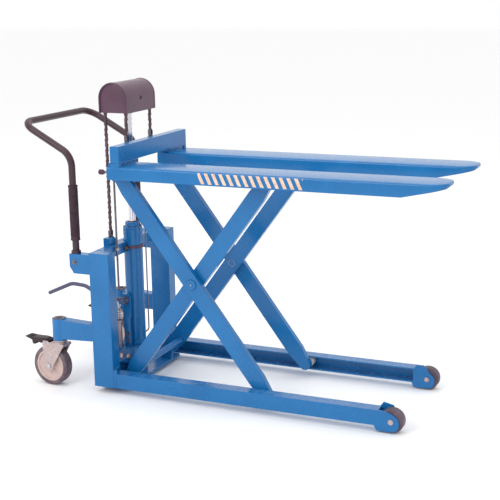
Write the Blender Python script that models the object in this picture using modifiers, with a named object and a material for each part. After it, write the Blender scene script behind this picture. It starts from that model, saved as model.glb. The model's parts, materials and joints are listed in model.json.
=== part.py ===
"""Manual hydraulic scissor lift truck with a foot pump, standing with its forks raised.

Frame: +X towards the fork tips, +Y to the left of a person pushing it, +Z up, floor at z = 0,
origin under the middle of the overall length. Sizes are in millimetres and MM turns them into metres.
A name ending in _r is on the -Y side, and one ending in _l on the +Y side.
"""
import math

import bmesh
import bpy
from mathutils import Vector

MM = 0.001

# ---- Driving dimensions, mm --------------------------------------------------------------------
FORK_TOP = 838.0            # raised height of the load surface
FORK_HALF_WIDTH = 256.0     # half of the width over both forks
FORK_WIDTH = 140.0
FORK_SKIRT = 46.0
FORK_PLATE = 5.0
HEEL_X = -399.0
TAPER_X = 655.0
TIP_X = 801.0
PIVOT_X = -394.0            # base pivot of the inner arms; the outer arms' top pivot is above it
PIVOT_Z = 50.0
TOP_PIVOT_Z = 800.0
ARM_SPAN = 936.0            # from pivot to pivot
ARM_HALF_DEPTH = 30.0
OUTER_ARM_Y = (171.0, 193.0)
INNER_ARM_Y = (146.0, 168.0)
LEG_Y = (200.0, 246.0)
LEG_Z = (23.0, 77.0)
LEG_WEB = 4.0
LEG_FLANGE = 5.0
CHANNEL_END_X = 578.0
LOAD_ROLLER_X = 629.0
LOAD_ROLLER_R = 41.0
COLUMN_X = (-492.0, -412.0)
COLUMN_Y = (202.0, 252.0)
COLUMN_TOP = 522.0
COLUMN_WALL = 5.0
MAST_X = -452.0             # axis of the cylinder and of the chain wheels
BARREL_R = 36.0
AXLE_Z = 1058.0             # chain wheel axle
CHAIN_R = 42.0              # pitch radius of the chain wheels
CHAIN_Y = 88.0
CHAIN_PITCH = 19.05
STEM_X = -647.0
STEM_Y = 226.0
WHEEL_R = 75.0
TRAIL = 40.0                # caster axle behind the stem
BRAKE_BACK = 55.0           # brake pedal pin behind the stem
BRAKE_Z = 163.0
SWIVEL_R_DEG = -4.0         # angle that the -Y caster stands at
HANDLE_X = -558.0
HANDLE_Y = 227.0
HANDLE_R = 12.5
PUMP_X = -494.0
PUMP_Y = -62.0
PEDAL_X = -463.0
PEDAL_Z = 300.0
RELEASE_Y = -118.5
RELEASE_Z = 793.0           # knob of the release rod
GAP = 0.3                   # between pieces that touch

ANGLE = math.asin((TOP_PIVOT_Z - PIVOT_Z) / ARM_SPAN)
CENTRE_X = PIVOT_X + 0.5 * ARM_SPAN * math.cos(ANGLE)
CENTRE_Z = PIVOT_Z + 0.5 * ARM_SPAN * math.sin(ANGLE)
ROLLER_X = PIVOT_X + ARM_SPAN * math.cos(ANGLE)
SIDES = (-1, 1)

# Name: colour, metallic, roughness.
FINISHES = {
    "blue_paint": ((0.04, 0.21, 0.50, 1), 0.1, 0.35),
    "dark_paint": ((0.09, 0.06, 0.075, 1), 0.1, 0.45),
    "grip_rubber": ((0.05, 0.035, 0.04, 1), 0.0, 0.7),
    "black_oxide": ((0.12, 0.11, 0.12, 1), 0.8, 0.5),
    "chrome": ((0.72, 0.70, 0.72, 1), 1.0, 0.12),
    "zinc": ((0.62, 0.60, 0.60, 1), 0.9, 0.35),
    "steel": ((0.50, 0.49, 0.50, 1), 1.0, 0.4),
    "nylon_dark": ((0.16, 0.13, 0.15, 1), 0.0, 0.55),
    "nylon_white": ((0.72, 0.71, 0.70, 1), 0.0, 0.45),
    "tyre_rubber": ((0.25, 0.20, 0.21, 1), 0.0, 0.75),
    "hub_plastic": ((0.55, 0.50, 0.50, 1), 0.0, 0.5),
    "pedal_black": ((0.05, 0.045, 0.05, 1), 0.0, 0.5),
}

for leftover in list(bpy.data.objects):
    bpy.data.objects.remove(leftover, do_unlink=True)

PARTS = bpy.data.collections.new("scissor_lift_truck")
CUTTERS = bpy.data.collections.new("cutters")
for group in (PARTS, CUTTERS):
    bpy.context.scene.collection.children.link(group)


# ---- Helpers -------------------------------------------------------------------------------------
def make_finish(name):
    """A Principled material from FINISHES."""
    colour, metallic, roughness = FINISHES[name]
    material = bpy.data.materials.new(name)
    material.use_nodes = True
    shader = material.node_tree.nodes["Principled BSDF"]
    shader.inputs["Base Color"].default_value = colour
    shader.inputs["Metallic"].default_value = metallic
    shader.inputs["Roughness"].default_value = roughness
    material.diffuse_color = colour
    return material


MATERIALS = {name: make_finish(name) for name in FINISHES}


def sided(name, side):
    """The name of a piece on one side."""
    return name + ("_l" if side > 0 else "_r")


def span(side, pair):
    """A (low, high) pair of y values, mirrored for the -Y side."""
    return pair if side > 0 else (-pair[1], -pair[0])


def pivot(name, x, y, z, turn_deg=0.0):
    """An empty on a joint's axis, which the moving pieces are parented to."""
    empty = bpy.data.objects.new(name, None)
    empty.location = Vector((x, y, z)) * MM
    empty.rotation_euler.z = math.radians(turn_deg)
    PARTS.objects.link(empty)
    return empty


def finish(obj, slot, parent):
    """Gives a finished piece its material, its collection and its parent."""
    obj.data.materials.clear()
    obj.data.materials.append(MATERIALS[slot])
    if obj.type == "MESH":
        obj.data.shade_smooth()
        obj.data.set_sharp_from_angle(angle=math.radians(35))
    attach(obj, parent)
    for mod in obj.modifiers:
        if mod.type == "BOOLEAN":
            attach(mod.object, parent)
    return obj


def attach(obj, parent):
    """Parents an object to an empty. Its own place is given as if the empty weren't turned."""
    obj.parent = parent
    obj.location = obj.location - parent.location


def from_mesh(name, mesh, location=(0, 0, 0), rotation=(0, 0, 0)):
    obj = bpy.data.objects.new(name, mesh)
    obj.location = Vector(location) * MM
    obj.rotation_euler = rotation
    PARTS.objects.link(obj)
    return obj


def block(name, lo, hi):
    """A box between two corners."""
    bm = bmesh.new()
    bmesh.ops.create_cube(bm, size=1.0)
    size = [(hi[i] - lo[i]) * MM for i in range(3)]
    bmesh.ops.scale(bm, vec=size, verts=bm.verts)
    mesh = bpy.data.meshes.new(name)
    bm.to_mesh(mesh)
    bm.free()
    return from_mesh(name, mesh, [0.5 * (lo[i] + hi[i]) for i in range(3)])


# Rotations that lay local Z along X, Y or Z.
ALONG = ((0, math.pi / 2, 0), (-math.pi / 2, 0, 0), (0, 0, 0))


def bar(name, centre, axis, radius, lo, hi, segments=24):
    """A round bar along an axis, from lo to hi on it."""
    bm = bmesh.new()
    depth = (hi - lo) * MM
    bmesh.ops.create_cone(
        bm, cap_ends=True, segments=segments, radius1=radius * MM, radius2=radius * MM, depth=depth
    )
    mesh = bpy.data.meshes.new(name)
    bm.to_mesh(mesh)
    bm.free()
    place = list(centre)
    place[axis] = 0.5 * (lo + hi)
    return from_mesh(name, mesh, place, ALONG[axis])


def turned(name, profile, centre, axis, steps=32):
    """A (radius, height) profile, given from the bottom up, turned about an axis.

    It is a solid where both ends are at radius 0, and a ring otherwise.
    """
    solid = profile[0][0] == 0 and profile[-1][0] == 0
    mesh = bpy.data.meshes.new(name)
    points = [(r * MM, 0, h * MM) for r, h in reversed(profile)]
    edges = [(i, i + 1) for i in range(len(points) - 1)]
    if not solid:
        edges.append((len(points) - 1, 0))
    mesh.from_pydata(points, edges, [])
    place = list(centre)
    place[axis] = 0
    obj = from_mesh(name, mesh, place, ALONG[axis])
    screw = obj.modifiers.new("turn", "SCREW")
    screw.axis = "Z"
    screw.steps = steps
    screw.render_steps = steps
    screw.use_merge_vertices = True
    screw.merge_threshold = 1e-6
    screw.use_normal_calculate = False
    screw.use_smooth_shade = True
    return obj


def ring(name, centre, axis, inner, outer, lo, hi, steps=32):
    """A plain sleeve along an axis."""
    return turned(name, [(inner, lo), (outer, lo), (outer, hi), (inner, hi)], centre, axis, steps)


def made_mesh(curve_obj):
    """Turns a curve object into a mesh object with its caps welded."""
    bpy.context.view_layer.update()
    graph = bpy.context.evaluated_depsgraph_get()
    mesh = bpy.data.meshes.new_from_object(curve_obj.evaluated_get(graph))
    bm = bmesh.new()
    bm.from_mesh(mesh)
    bmesh.ops.remove_doubles(bm, verts=bm.verts, dist=1e-6)
    bm.to_mesh(mesh)
    bm.free()
    mesh.name = curve_obj.name
    name = curve_obj.name
    matrix = curve_obj.matrix_world.copy()
    bpy.data.objects.remove(curve_obj, do_unlink=True)
    obj = from_mesh(name, mesh)
    obj.matrix_world = matrix
    return obj


def plate(name, outline, axis, lo, hi):
    """A flat outline with a thickness along Y (its points are x, z) or along Z (its points are x, y)."""
    data = bpy.data.curves.new(name, "CURVE")
    data.dimensions = "2D"
    data.fill_mode = "BOTH"
    data.extrude = 0.5 * (hi - lo) * MM
    spline = data.splines.new("POLY")
    spline.points.add(len(outline) - 1)
    for point, (a, b) in zip(spline.points, outline):
        point.co = (a * MM, b * MM, 0, 1)
    spline.use_cyclic_u = True
    obj = bpy.data.objects.new(name, data)
    PARTS.objects.link(obj)
    middle = 0.5 * (lo + hi) * MM
    if axis == 1:
        obj.rotation_euler = (math.pi / 2, 0, 0)
        obj.location.y = middle
    else:
        obj.location.z = middle
    return made_mesh(obj)


def tube(name, path, radius, resolution=3):
    """A round tube along a path of points, with flat ends."""
    data = bpy.data.curves.new(name, "CURVE")
    data.dimensions = "3D"
    data.bevel_depth = radius * MM
    data.bevel_resolution = resolution
    data.use_fill_caps = True
    spline = data.splines.new("POLY")
    spline.points.add(len(path) - 1)
    for point, co in zip(spline.points, path):
        point.co = (*(Vector(co) * MM), 1)
    obj = bpy.data.objects.new(name, data)
    PARTS.objects.link(obj)
    return made_mesh(obj)


def combine(obj, tool, operation="DIFFERENCE"):
    """Cuts a tool from an object or joins it on. The tool stays in the cutters collection."""
    PARTS.objects.unlink(tool)
    CUTTERS.objects.link(tool)
    tool.hide_render = True
    tool.display_type = "WIRE"
    mod = obj.modifiers.new(tool.name, "BOOLEAN")
    mod.operation = operation
    mod.solver = "EXACT"
    mod.object = tool
    return obj


def join(obj, tool):
    return combine(obj, tool, "UNION")


def arc(cx, cy, radius, start_deg, end_deg, steps):
    """Points on an arc, both ends included."""
    points = []
    for i in range(steps + 1):
        t = math.radians(start_deg + (end_deg - start_deg) * i / steps)
        points.append((cx + radius * math.cos(t), cy + radius * math.sin(t)))
    return points


def bent(points, radii, steps=6):
    """A path with its inner corners turned into arcs of the given radii."""
    pts = [Vector(p) for p in points]
    path = [pts[0]]
    for before, corner, after, radius in zip(pts, pts[1:], pts[2:], radii):
        a = (before - corner).normalized()
        b = (after - corner).normalized()
        half = 0.5 * a.angle(b)
        centre = corner + (a + b).normalized() * (radius / math.sin(half))
        u = (corner + a * (radius / math.tan(half)) - centre).normalized()
        v = (corner + b * (radius / math.tan(half)) - centre).normalized()
        total = u.angle(v)
        for k in range(steps + 1):
            t = total * k / steps
            w = (u * math.sin(total - t) + v * math.sin(t)) / math.sin(total)
            path.append(centre + w * radius)
    path.append(pts[-1])
    return path


# ---- Base: legs, columns and cross members -----------------------------------------------------------
def leg(side, root):
    """Channel open towards the middle, ending in a housing with the load roller's axle."""
    name = sided("leg", side)
    start = COLUMN_X[1] + GAP
    y_in, y_out = LEG_Y
    low, high = LEG_Z
    outline = [(start, high), (start, low), (572, low), (580, 6), (638, 6), (650, 13)]
    outline += [(657, 27), (657, 43), (650, 56), (632, 68), (604, high)]
    lo, hi = span(side, LEG_Y)
    obj = plate(name, outline, 1, lo, hi)
    lo, hi = span(side, (y_in - 5, y_out - LEG_WEB))
    channel = (start - 5, lo, low + LEG_FLANGE), (CHANNEL_END_X, hi, high - LEG_FLANGE)
    combine(obj, block(name + "_channel", *channel))
    lo, hi = span(side, (y_in + LEG_WEB, y_out - LEG_WEB))
    slot_x = LOAD_ROLLER_X - LOAD_ROLLER_R - 3
    combine(obj, block(name + "_slot", (slot_x, lo, 0), (670, hi, high + 5)))
    ear = [(574, 68), (592, 92.5), (626, 85), (642, 58), (600, 50)]
    lo, hi = span(side, (y_in + 0.2, y_in + LEG_WEB - 0.2))
    join(obj, plate(name + "_ear", ear, 1, lo, hi))
    lo, hi = span(side, (y_in - 1.5, y_out + 1.5))
    join(obj, bar(name + "_axle", (LOAD_ROLLER_X, 0, LOAD_ROLLER_R), 1, 8, lo, hi))
    return finish(obj, "blue_paint", root)


def column(side, root):
    name = sided("column", side)
    lo, hi = span(side, COLUMN_Y)
    wall = COLUMN_WALL
    obj = block(name, (COLUMN_X[0], lo, LEG_Z[0]), (COLUMN_X[1], hi, COLUMN_TOP))
    inside = (COLUMN_X[0] + wall, lo + wall, LEG_Z[0] - 8), (COLUMN_X[1] - wall, hi - wall, COLUMN_TOP - wall)
    combine(obj, block(name + "_inside", *inside))
    return finish(obj, "blue_paint", root)


def crossbar_top(root):
    """Bar between the columns, with a saddle that the cylinder lies in."""
    half = COLUMN_Y[0] - GAP
    obj = block("crossbar_top", (-493, -half, 482), (-460, half, COLUMN_TOP))
    join(obj, block("crossbar_saddle", (-508, -62, 484), (-490, 62, 520)))
    combine(obj, bar("crossbar_seat", (MAST_X, 0, 0), 2, BARREL_R + 0.4, 470, 530, 48))
    return finish(obj, "blue_paint", root)


def base_plate(root):
    """Bottom plate with a rear upstand and the two lugs of the inner arms' base pivot."""
    half = COLUMN_Y[0] - GAP
    obj = block("base_plate", (COLUMN_X[0], -half, 10), (-376, half, 22))
    join(obj, block("base_upstand", (COLUMN_X[0], -half, 20), (COLUMN_X[0] + 8, half, 58)))
    for side in SIDES:
        lo, hi = span(side, (124, 143))
        lug = [(PIVOT_X - 24, 18)] + arc(PIVOT_X, PIVOT_Z, 24, 180, 0, 10) + [(-376, 18)]
        join(obj, plate(sided("base_lug", side), lug, 1, lo, hi))
        bore = bar(sided("base_bore", side), (PIVOT_X, 0, PIVOT_Z), 1, 12.3, lo - 3, hi + 3, 32)
        combine(obj, bore)
    return finish(obj, "blue_paint", root)


def caster_arm(side, root):
    """Arm behind a column, with the socket of the caster's stem."""
    name = sided("caster_arm", side)
    lo, hi = span(side, (206, 246))
    back = COLUMN_X[0] - GAP
    outline = [(back, 190), (back, 252), (-640, 258), (-640, 183)]
    obj = plate(name, outline, 1, lo, hi)
    join(obj, bar(name + "_socket", (STEM_X, side * STEM_Y, 0), 2, 27, 178, 259, 32))
    combine(obj, bar(name + "_bore", (STEM_X, side * STEM_Y, 0), 2, 10, 170, 250))
    return finish(obj, "blue_paint", root)


def handle_bracket(side, root):
    name = sided("handle_bracket", side)
    lo, hi = span(side, (209, 245))
    back = COLUMN_X[0] - GAP
    outline = [(back, 440), (back, 512), (-577, 512), (-577, 464), (-561, 440)]
    obj = plate(name, outline, 1, lo, hi)
    combine(obj, bar(name + "_bore", (HANDLE_X, side * HANDLE_Y, 0), 2, HANDLE_R + GAP, 447, 520))
    return finish(obj, "blue_paint", root)


def push_handle(root):
    """One tube: up from both brackets, then back and up to the cross piece."""
    half = [(HANDLE_X, HANDLE_Y, 447.5), (HANDLE_X, HANDLE_Y, 866), (-758, HANDLE_Y, 976)]
    other = [(x, -y, z) for x, y, z in reversed(half)]
    obj = tube("push_handle", bent(half + other, [70, 55, 55, 70], 7), HANDLE_R, 3)
    return finish(obj, "dark_paint", root)


def grip(side, root):
    profile = [(12.8, 560), (15.5, 560), (17.5, 563), (17.5, 757), (15.5, 760), (12.8, 760)]
    obj = turned(sided("grip", side), profile, (HANDLE_X, side * HANDLE_Y, 0), 2, 28)
    return finish(obj, "grip_rubber", root)


# ---- Cylinder, pump unit and pedal -----------------------------------------------------------------------
def cylinder_barrel(root):
    profile = [(0, 118.3), (BARREL_R, 118.3), (BARREL_R, 566), (31, 566), (31, 127), (0, 127)]
    obj = turned("cylinder_barrel", profile, (MAST_X, 0, 0), 2, 40)
    return finish(obj, "blue_paint", root)


def gland_nut(root):
    profile = [(13.3, 566.3), (35.5, 566.3), (35.5, 573), (27, 575), (27, 590), (24.5, 593), (13.3, 593)]
    obj = turned("gland_nut", profile, (MAST_X, 0, 0), 2, 40)
    return finish(obj, "blue_paint", root)


def clamp_band(root):
    """Strap round the front of the cylinder, with an ear on each side against the crossbar."""
    front = -460 + GAP
    inner = arc(MAST_X, 0, BARREL_R + 0.5, -102, 102, 24)
    outer = arc(MAST_X, 0, BARREL_R + 4.5, 94, -94, 24)
    ear = [(front, 36.2), (front, 60), (front + 4.7, 60)]
    other_ear = [(x, -y) for x, y in reversed(ear)]
    obj = plate("clamp_band", inner + ear + outer + other_ear, 2, 492, 508)
    return finish(obj, "dark_paint", root)


def chain_anchor(side, root):
    lo, hi = span(side, (CHAIN_Y - 11, CHAIN_Y + 34))
    top = COLUMN_TOP + GAP
    back = -493 - GAP
    outline = [(-507, 498), (back, 498), (back, top), (-479, top), (-479, 540), (-487, 548), (-507, 548)]
    return finish(plate(sided("chain_anchor", side), outline, 1, lo, hi), "blue_paint", root)


def valve_block(root):
    obj = block("valve_block", (-516, -84, 62), (-420, 48, 118))
    join(obj, block("valve_pedestal", (-480, -34, 22 + GAP), (-428, 34, 66)))
    return finish(obj, "blue_paint", root)


def pump_barrel(root):
    profile = [(0, 118.3), (15, 118.3), (15, 214), (17, 214), (17, 222), (7.4, 222), (7.4, 130), (0, 130)]
    obj = turned("pump_barrel", profile, (PUMP_X, PUMP_Y, 0), 2, 28)
    return finish(obj, "zinc", root)


def pump_bracket(root):
    """Upright with the pin that the foot pedal turns on."""
    outline = [(-474, 118.3), (-448, 118.3), (-450, 226), (-446, 230), (-446, 312), (-456, 322)]
    outline += [(-478, 322), (-478, 230)]
    obj = plate("pump_bracket", outline, 1, -52, -40.5)
    join(obj, bar("pump_bracket_pin", (PEDAL_X, 0, PEDAL_Z), 1, 7, -76, -46))
    return finish(obj, "blue_paint", root)


def foot_pedal(parent):
    """Hub on the bracket's pin, and a bent bar to the rear that is pressed with the foot."""
    obj = ring("foot_pedal", (PEDAL_X, 0, PEDAL_Z), 1, 7.3, 15, -72, -53)
    path = [(-476, 302), (-560, 306), (-632, 342), (-690, 346), (-798, 297)]
    points = [(x, PUMP_Y, z) for x, z in path]
    join(obj, tube("foot_pedal_bar", bent(points, [50, 45, 60], 5), 7.5, 2))
    return finish(obj, "dark_paint", parent)


def pump_plunger(parent):
    profile = [(0, 160), (7, 160), (7, 272), (13, 272), (13, 278), (7, 278), (7, 294.2), (0, 294.2)]
    return finish(turned("pump_plunger", profile, (PUMP_X, PUMP_Y, 0), 2, 24), "chrome", parent)


def pump_spring(root):
    """Return spring between the pump barrel and the plunger's collar."""
    turns = 5
    count = turns * 12
    low, high = 224.6, 269.5
    path = []
    for i in range(count + 1):
        t = 2 * math.pi * turns * i / count
        height = low + (high - low) * i / count
        path.append((PUMP_X + 11.2 * math.cos(t), PUMP_Y + 11.2 * math.sin(t), height))
    return finish(tube("pump_spring", path, 1.8, 1), "zinc", root)


def release_rod(parent):
    """Bent rod from the release valve up to a knob beside the chain cover."""
    corners = [(-504, RELEASE_Y, RELEASE_Z), (MAST_X, RELEASE_Y, RELEASE_Z)]
    corners += [(MAST_X, RELEASE_Y, 352), (MAST_X, -66, 352)]
    obj = tube("release_rod", bent(corners, [12, 12], 5), 4, 2)
    profile = [(0, -512), (8, -512), (10, -508), (10, -496), (6, -490), (0, -490)]
    join(obj, turned("release_knob", profile, (0, RELEASE_Y, RELEASE_Z), 0, 20))
    return finish(obj, "black_oxide", parent)


# ---- Scissor arms ------------------------------------------------------------------------------------------
def arm_outline(rise, low_end, high_end):
    """Side outline of an arm with its ends' radii. rise is +1 where it rises towards the fork tips."""
    half = 0.5 * ARM_SPAN
    deep = ARM_HALF_DEPTH
    shoulder = half - 62
    straight = arc(half, 0, high_end, -62, 62, 8) + [(shoulder, deep), (-shoulder, deep)]
    straight += arc(-half, 0, low_end, 118, 242, 8) + [(-shoulder, -deep), (shoulder, -deep)]
    c = math.cos(ANGLE)
    s = math.sin(ANGLE) * rise
    return [(CENTRE_X + a * c - b * s, CENTRE_Z + a * s + b * c) for a, b in straight]


def centre_bore(name, side, pair):
    lo, hi = span(side, (pair[0] - 3, pair[1] + 3))
    return bar(name, (CENTRE_X, 0, CENTRE_Z), 1, 12.3, lo, hi, 32)


def outer_arm(side, parent):
    """Outer arm, with the stub of its lower roller and that of its top pivot."""
    name = sided("arm_a", side)
    lo, hi = span(side, OUTER_ARM_Y)
    obj = plate(name, arm_outline(-1, 22, 22), 1, lo, hi)
    lo, hi = span(side, (OUTER_ARM_Y[1] - 4, 240.5))
    join(obj, bar(name + "_roller_stub", (ROLLER_X, 0, PIVOT_Z), 1, 9, lo, hi))
    lo, hi = span(side, (OUTER_ARM_Y[1] - 4, 199))
    join(obj, bar(name + "_top_stub", (PIVOT_X, 0, TOP_PIVOT_Z), 1, 11, lo, hi))
    combine(obj, centre_bore(name + "_bore", side, OUTER_ARM_Y))
    return finish(obj, "blue_paint", parent)


def inner_arm(side, parent):
    """Inner arm, with the stub of its upper roller and that of its base pivot."""
    name = sided("arm_b", side)
    lo, hi = span(side, INNER_ARM_Y)
    obj = plate(name, arm_outline(1, 20, 22), 1, lo, hi)
    lo, hi = span(side, (122.5, INNER_ARM_Y[0] + 4))
    join(obj, bar(name + "_roller_stub", (ROLLER_X, 0, TOP_PIVOT_Z), 1, 10, lo, hi))
    lo, hi = span(side, (124.5, INNER_ARM_Y[0] + 4))
    join(obj, bar(name + "_base_stub", (PIVOT_X, 0, PIVOT_Z), 1, 12, lo, hi))
    combine(obj, centre_bore(name + "_bore", side, INNER_ARM_Y))
    return finish(obj, "blue_paint", parent)


def tie_tube(parent):
    """Tube between the inner arms, near their base pivot and low enough to fold under the forks."""
    along, off = 70, -14
    x = PIVOT_X + along * math.cos(ANGLE) - off * math.sin(ANGLE)
    z = PIVOT_Z + along * math.sin(ANGLE) + off * math.cos(ANGLE)
    half = INNER_ARM_Y[0] - GAP
    return finish(ring("tie_tube", (x, 0, z), 1, 8.5, 12, -half, half, 28), "blue_paint", parent)


def centre_pin(side, parent):
    """Pin through both arms, with a round cap on the outside."""
    profile = [(0, 143), (12, 143), (12, 193.3), (18.5, 193.3), (18.5, 196.5), (16.5, 198.5), (0, 198.5)]
    if side < 0:
        profile = [(r, -y) for r, y in reversed(profile)]
    obj = turned(sided("centre_pin", side), profile, (CENTRE_X, 0, CENTRE_Z), 1, 28)
    return finish(obj, "blue_paint", parent)


def roller(name, side, x, z, bore, radius, pair, slot, parent):
    """A roller with a bore and chamfered rims."""
    lo, hi = span(side, pair)
    edge = 2
    profile = [(bore, lo), (radius - edge, lo), (radius, lo + edge), (radius, hi - edge), (radius - edge, hi)]
    profile.append((bore, hi))
    return finish(turned(sided(name, side), profile, (x, 0, z), 1, 32), slot, parent)


# ---- Carriage ----------------------------------------------------------------------------------------------
def fork(side, parent):
    """Inverted channel with a tapered tip, a heel pad and the lug of the outer arm's top pivot."""
    name = sided("fork", side)
    y_out = FORK_HALF_WIDTH
    y_in = FORK_HALF_WIDTH - FORK_WIDTH
    low = FORK_TOP - FORK_SKIRT
    under = FORK_TOP - FORK_PLATE
    outline = [(HEEL_X, FORK_TOP), (HEEL_X, low), (TAPER_X, low), (TIP_X - 8, 822), (TIP_X, 827), (TIP_X, FORK_TOP)]
    lo, hi = span(side, (y_in, y_out))
    obj = plate(name, outline, 1, lo, hi)
    lo, hi = span(side, (y_in + FORK_PLATE, y_out - FORK_PLATE))
    combine(obj, block(name + "_hollow", (HEEL_X - 5, lo, 760), (TAPER_X + 20, hi, under)))
    for label, at, edge in (("_nose_out", y_out, 1), ("_nose_in", y_in, -1)):
        corner = [(740, at + edge * 5), (815, at + edge * 5), (815, at - edge * 55), (802, at - edge * 55)]
        corner += [(799, at - edge * 40), (792, at - edge * 24), (779, at - edge * 10), (762, at - edge * 2)]
        combine(obj, plate(name + label, [(x, side * y) for x, y in corner], 2, 770, 850))
    lo, hi = span(side, (y_in + 10, y_out - 10))
    join(obj, block(name + "_pad", (-396, lo, FORK_TOP - 2), (-351, hi, 850)))
    lo, hi = span(side, (193.7, 199.2))
    join(obj, block(name + "_lug", (-412, lo, 778), (-370, hi, FORK_TOP - 3)))
    combine(obj, bar(name + "_lug_bore", (PIVOT_X, 0, TOP_PIVOT_Z), 1, 11.3, lo - 3, hi + 3, 32))
    return finish(obj, "blue_paint", parent)


def backrest(parent):
    """Bar across both forks, with the two lugs that the front chain strands pull on."""
    obj = block("backrest", (-383, -FORK_HALF_WIDTH, 850 + GAP), (-348, FORK_HALF_WIDTH, 909))
    for side in SIDES:
        lo, hi = span(side, (CHAIN_Y - 11, CHAIN_Y + 11))
        join(obj, block(sided("chain_lug", side), (-419, lo, 866), (-380, hi, 900)))
    return finish(obj, "blue_paint", parent)


# ---- Piston, chain wheels and cover ----------------------------------------------------------------------------
def piston_rod(parent):
    profile = [(0, 500), (30.5, 500), (30.5, 528), (13, 528), (13, 1039.7), (0, 1039.7)]
    return finish(turned("piston_rod", profile, (MAST_X, 0, 0), 2, 32), "chrome", parent)


def crosshead(parent):
    """Block on the piston rod that holds the chain wheels' axle."""
    obj = block("crosshead", (-470, -74, 1040), (-434, 74, 1077))
    join(obj, bar("crosshead_axle", (MAST_X, 0, AXLE_Z), 1, 8, -102.5, 102.5))
    return finish(obj, "dark_paint", parent)


def chain_wheel(side, parent):
    lo, hi = span(side, (CHAIN_Y - 10.5, CHAIN_Y + 10.5))
    groove = CHAIN_R - 5.4
    rim = CHAIN_R + 3
    profile = [(8.3, lo), (rim, lo), (rim, lo + 3.2), (groove, lo + 4)]
    profile += [(groove, hi - 4), (rim, hi - 3.2), (rim, hi), (8.3, hi)]
    obj = turned(sided("chain_wheel", side), profile, (MAST_X, 0, AXLE_Z), 1, 28)
    return finish(obj, "black_oxide", parent)


def chain_cover(parent):
    """Arched sheet cover over the chain wheels, open below."""
    outlines = []
    for radius, foot in ((58, 1004), (55, 995)):
        outlines.append([(MAST_X + radius, foot)] + arc(MAST_X, 1056, radius, 0, 180, 20) + [(MAST_X - radius, foot)])
    obj = plate("chain_cover", outlines[0], 1, -106, 106)
    combine(obj, plate("chain_cover_inside", outlines[1], 1, -103, 103))
    return finish(obj, "dark_paint", parent)


def strand(name, x, side, lo, hi, parent):
    """A chain strand as one bar that is waisted between the pins."""
    edge = [(5, lo)]
    for i in range(int((hi - lo) / CHAIN_PITCH)):
        z = lo + i * CHAIN_PITCH
        for half_width, share in ((5, 0.30), (3.2, 0.42), (3.2, 0.58), (5, 0.70)):
            edge.append((half_width, z + share * CHAIN_PITCH))
    edge.append((5, hi))
    outline = [(x + a, z) for a, z in edge] + [(x - a, z) for a, z in reversed(edge)]
    y_lo, y_hi = span(side, (CHAIN_Y - 6, CHAIN_Y + 6))
    return finish(plate(sided(name, side), outline, 1, y_lo, y_hi), "black_oxide", parent)


# ---- Casters -----------------------------------------------------------------------------------------------------
def caster_yoke(side, parent):
    """Stem, race, crown and two cheeks in one, with the wheel's axle and the brake pedal's pin."""
    name = sided("caster_yoke", side)
    y = side * STEM_Y
    axle_x = STEM_X - TRAIL
    obj = bar(name, (STEM_X, y, 0), 2, 9.7, 163, 246)
    crown = [(STEM_X + 30, 154), (STEM_X + 30, 166), (STEM_X - 34, 166), (STEM_X - 38, 155)]
    join(obj, plate(name + "_crown", crown, 1, y - 27.8, y + 27.8))
    join(obj, bar(name + "_race", (STEM_X, y, 0), 2, 26, 160, 177.4, 32))
    cheek = [(STEM_X + 28, 158), (STEM_X - 33, 158), (STEM_X - 46, 171), (STEM_X - 62, 171)]
    cheek += [(STEM_X - 66, 158), (axle_x - 19, WHEEL_R)]
    cheek += arc(axle_x, WHEEL_R, 19, 200, 340, 6) + [(axle_x + 19, WHEEL_R)]
    for label, off in (("_cheek_a", -25), ("_cheek_b", 25)):
        join(obj, plate(name + label, cheek, 1, y + off - 2, y + off + 2))
    join(obj, bar(name + "_axle", (axle_x, 0, WHEEL_R), 1, 6, y - 31.5, y + 31.5, 20))
    join(obj, bar(name + "_pin", (STEM_X - BRAKE_BACK, 0, BRAKE_Z), 1, 4, y - 29, y + 29, 16))
    return finish(obj, "zinc", parent)


def caster_tyre(side, parent):
    y = side * STEM_Y
    r = WHEEL_R
    profile = [(60.3, y - 19.5), (r - 6, y - 21), (r - 1.5, y - 17), (r, y - 9), (r, y + 9), (r - 1.5, y + 17)]
    profile += [(r - 6, y + 21), (60.3, y + 19.5)]
    obj = turned(sided("caster_tyre", side), profile, (STEM_X - TRAIL, 0, r), 1, 36)
    return finish(obj, "tyre_rubber", parent)


def caster_hub(side, parent):
    y = side * STEM_Y
    half = [(6.3, 22), (15, 22), (17, 12), (51, 12), (53, 19), (60, 19)]
    profile = [(r, y - h) for r, h in half] + [(r, y + h) for r, h in reversed(half)]
    obj = turned(sided("caster_hub", side), profile, (STEM_X - TRAIL, 0, WHEEL_R), 1, 28)
    return finish(obj, "hub_plastic", parent)


def caster_brake(side, parent):
    """Pedal with a shoe below it that clamps the wheel when it is trodden down."""
    name = sided("caster_brake", side)
    y = side * STEM_Y
    outline = [(-694, 158), (-694, 169), (-701, 173), (-716, 177), (-762, 176), (-796, 178), (-797, 174)]
    outline += [(-765, 165), (-762, 150), (-749, 150), (-745, 161), (-718, 157), (-702, 155.5)]
    obj = plate(name, outline, 1, y - 20, y + 20)
    combine(obj, bar(name + "_bore", (STEM_X - BRAKE_BACK, 0, BRAKE_Z), 1, 4.3, y - 25, y + 25, 16))
    return finish(obj, "pedal_black", parent)


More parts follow.
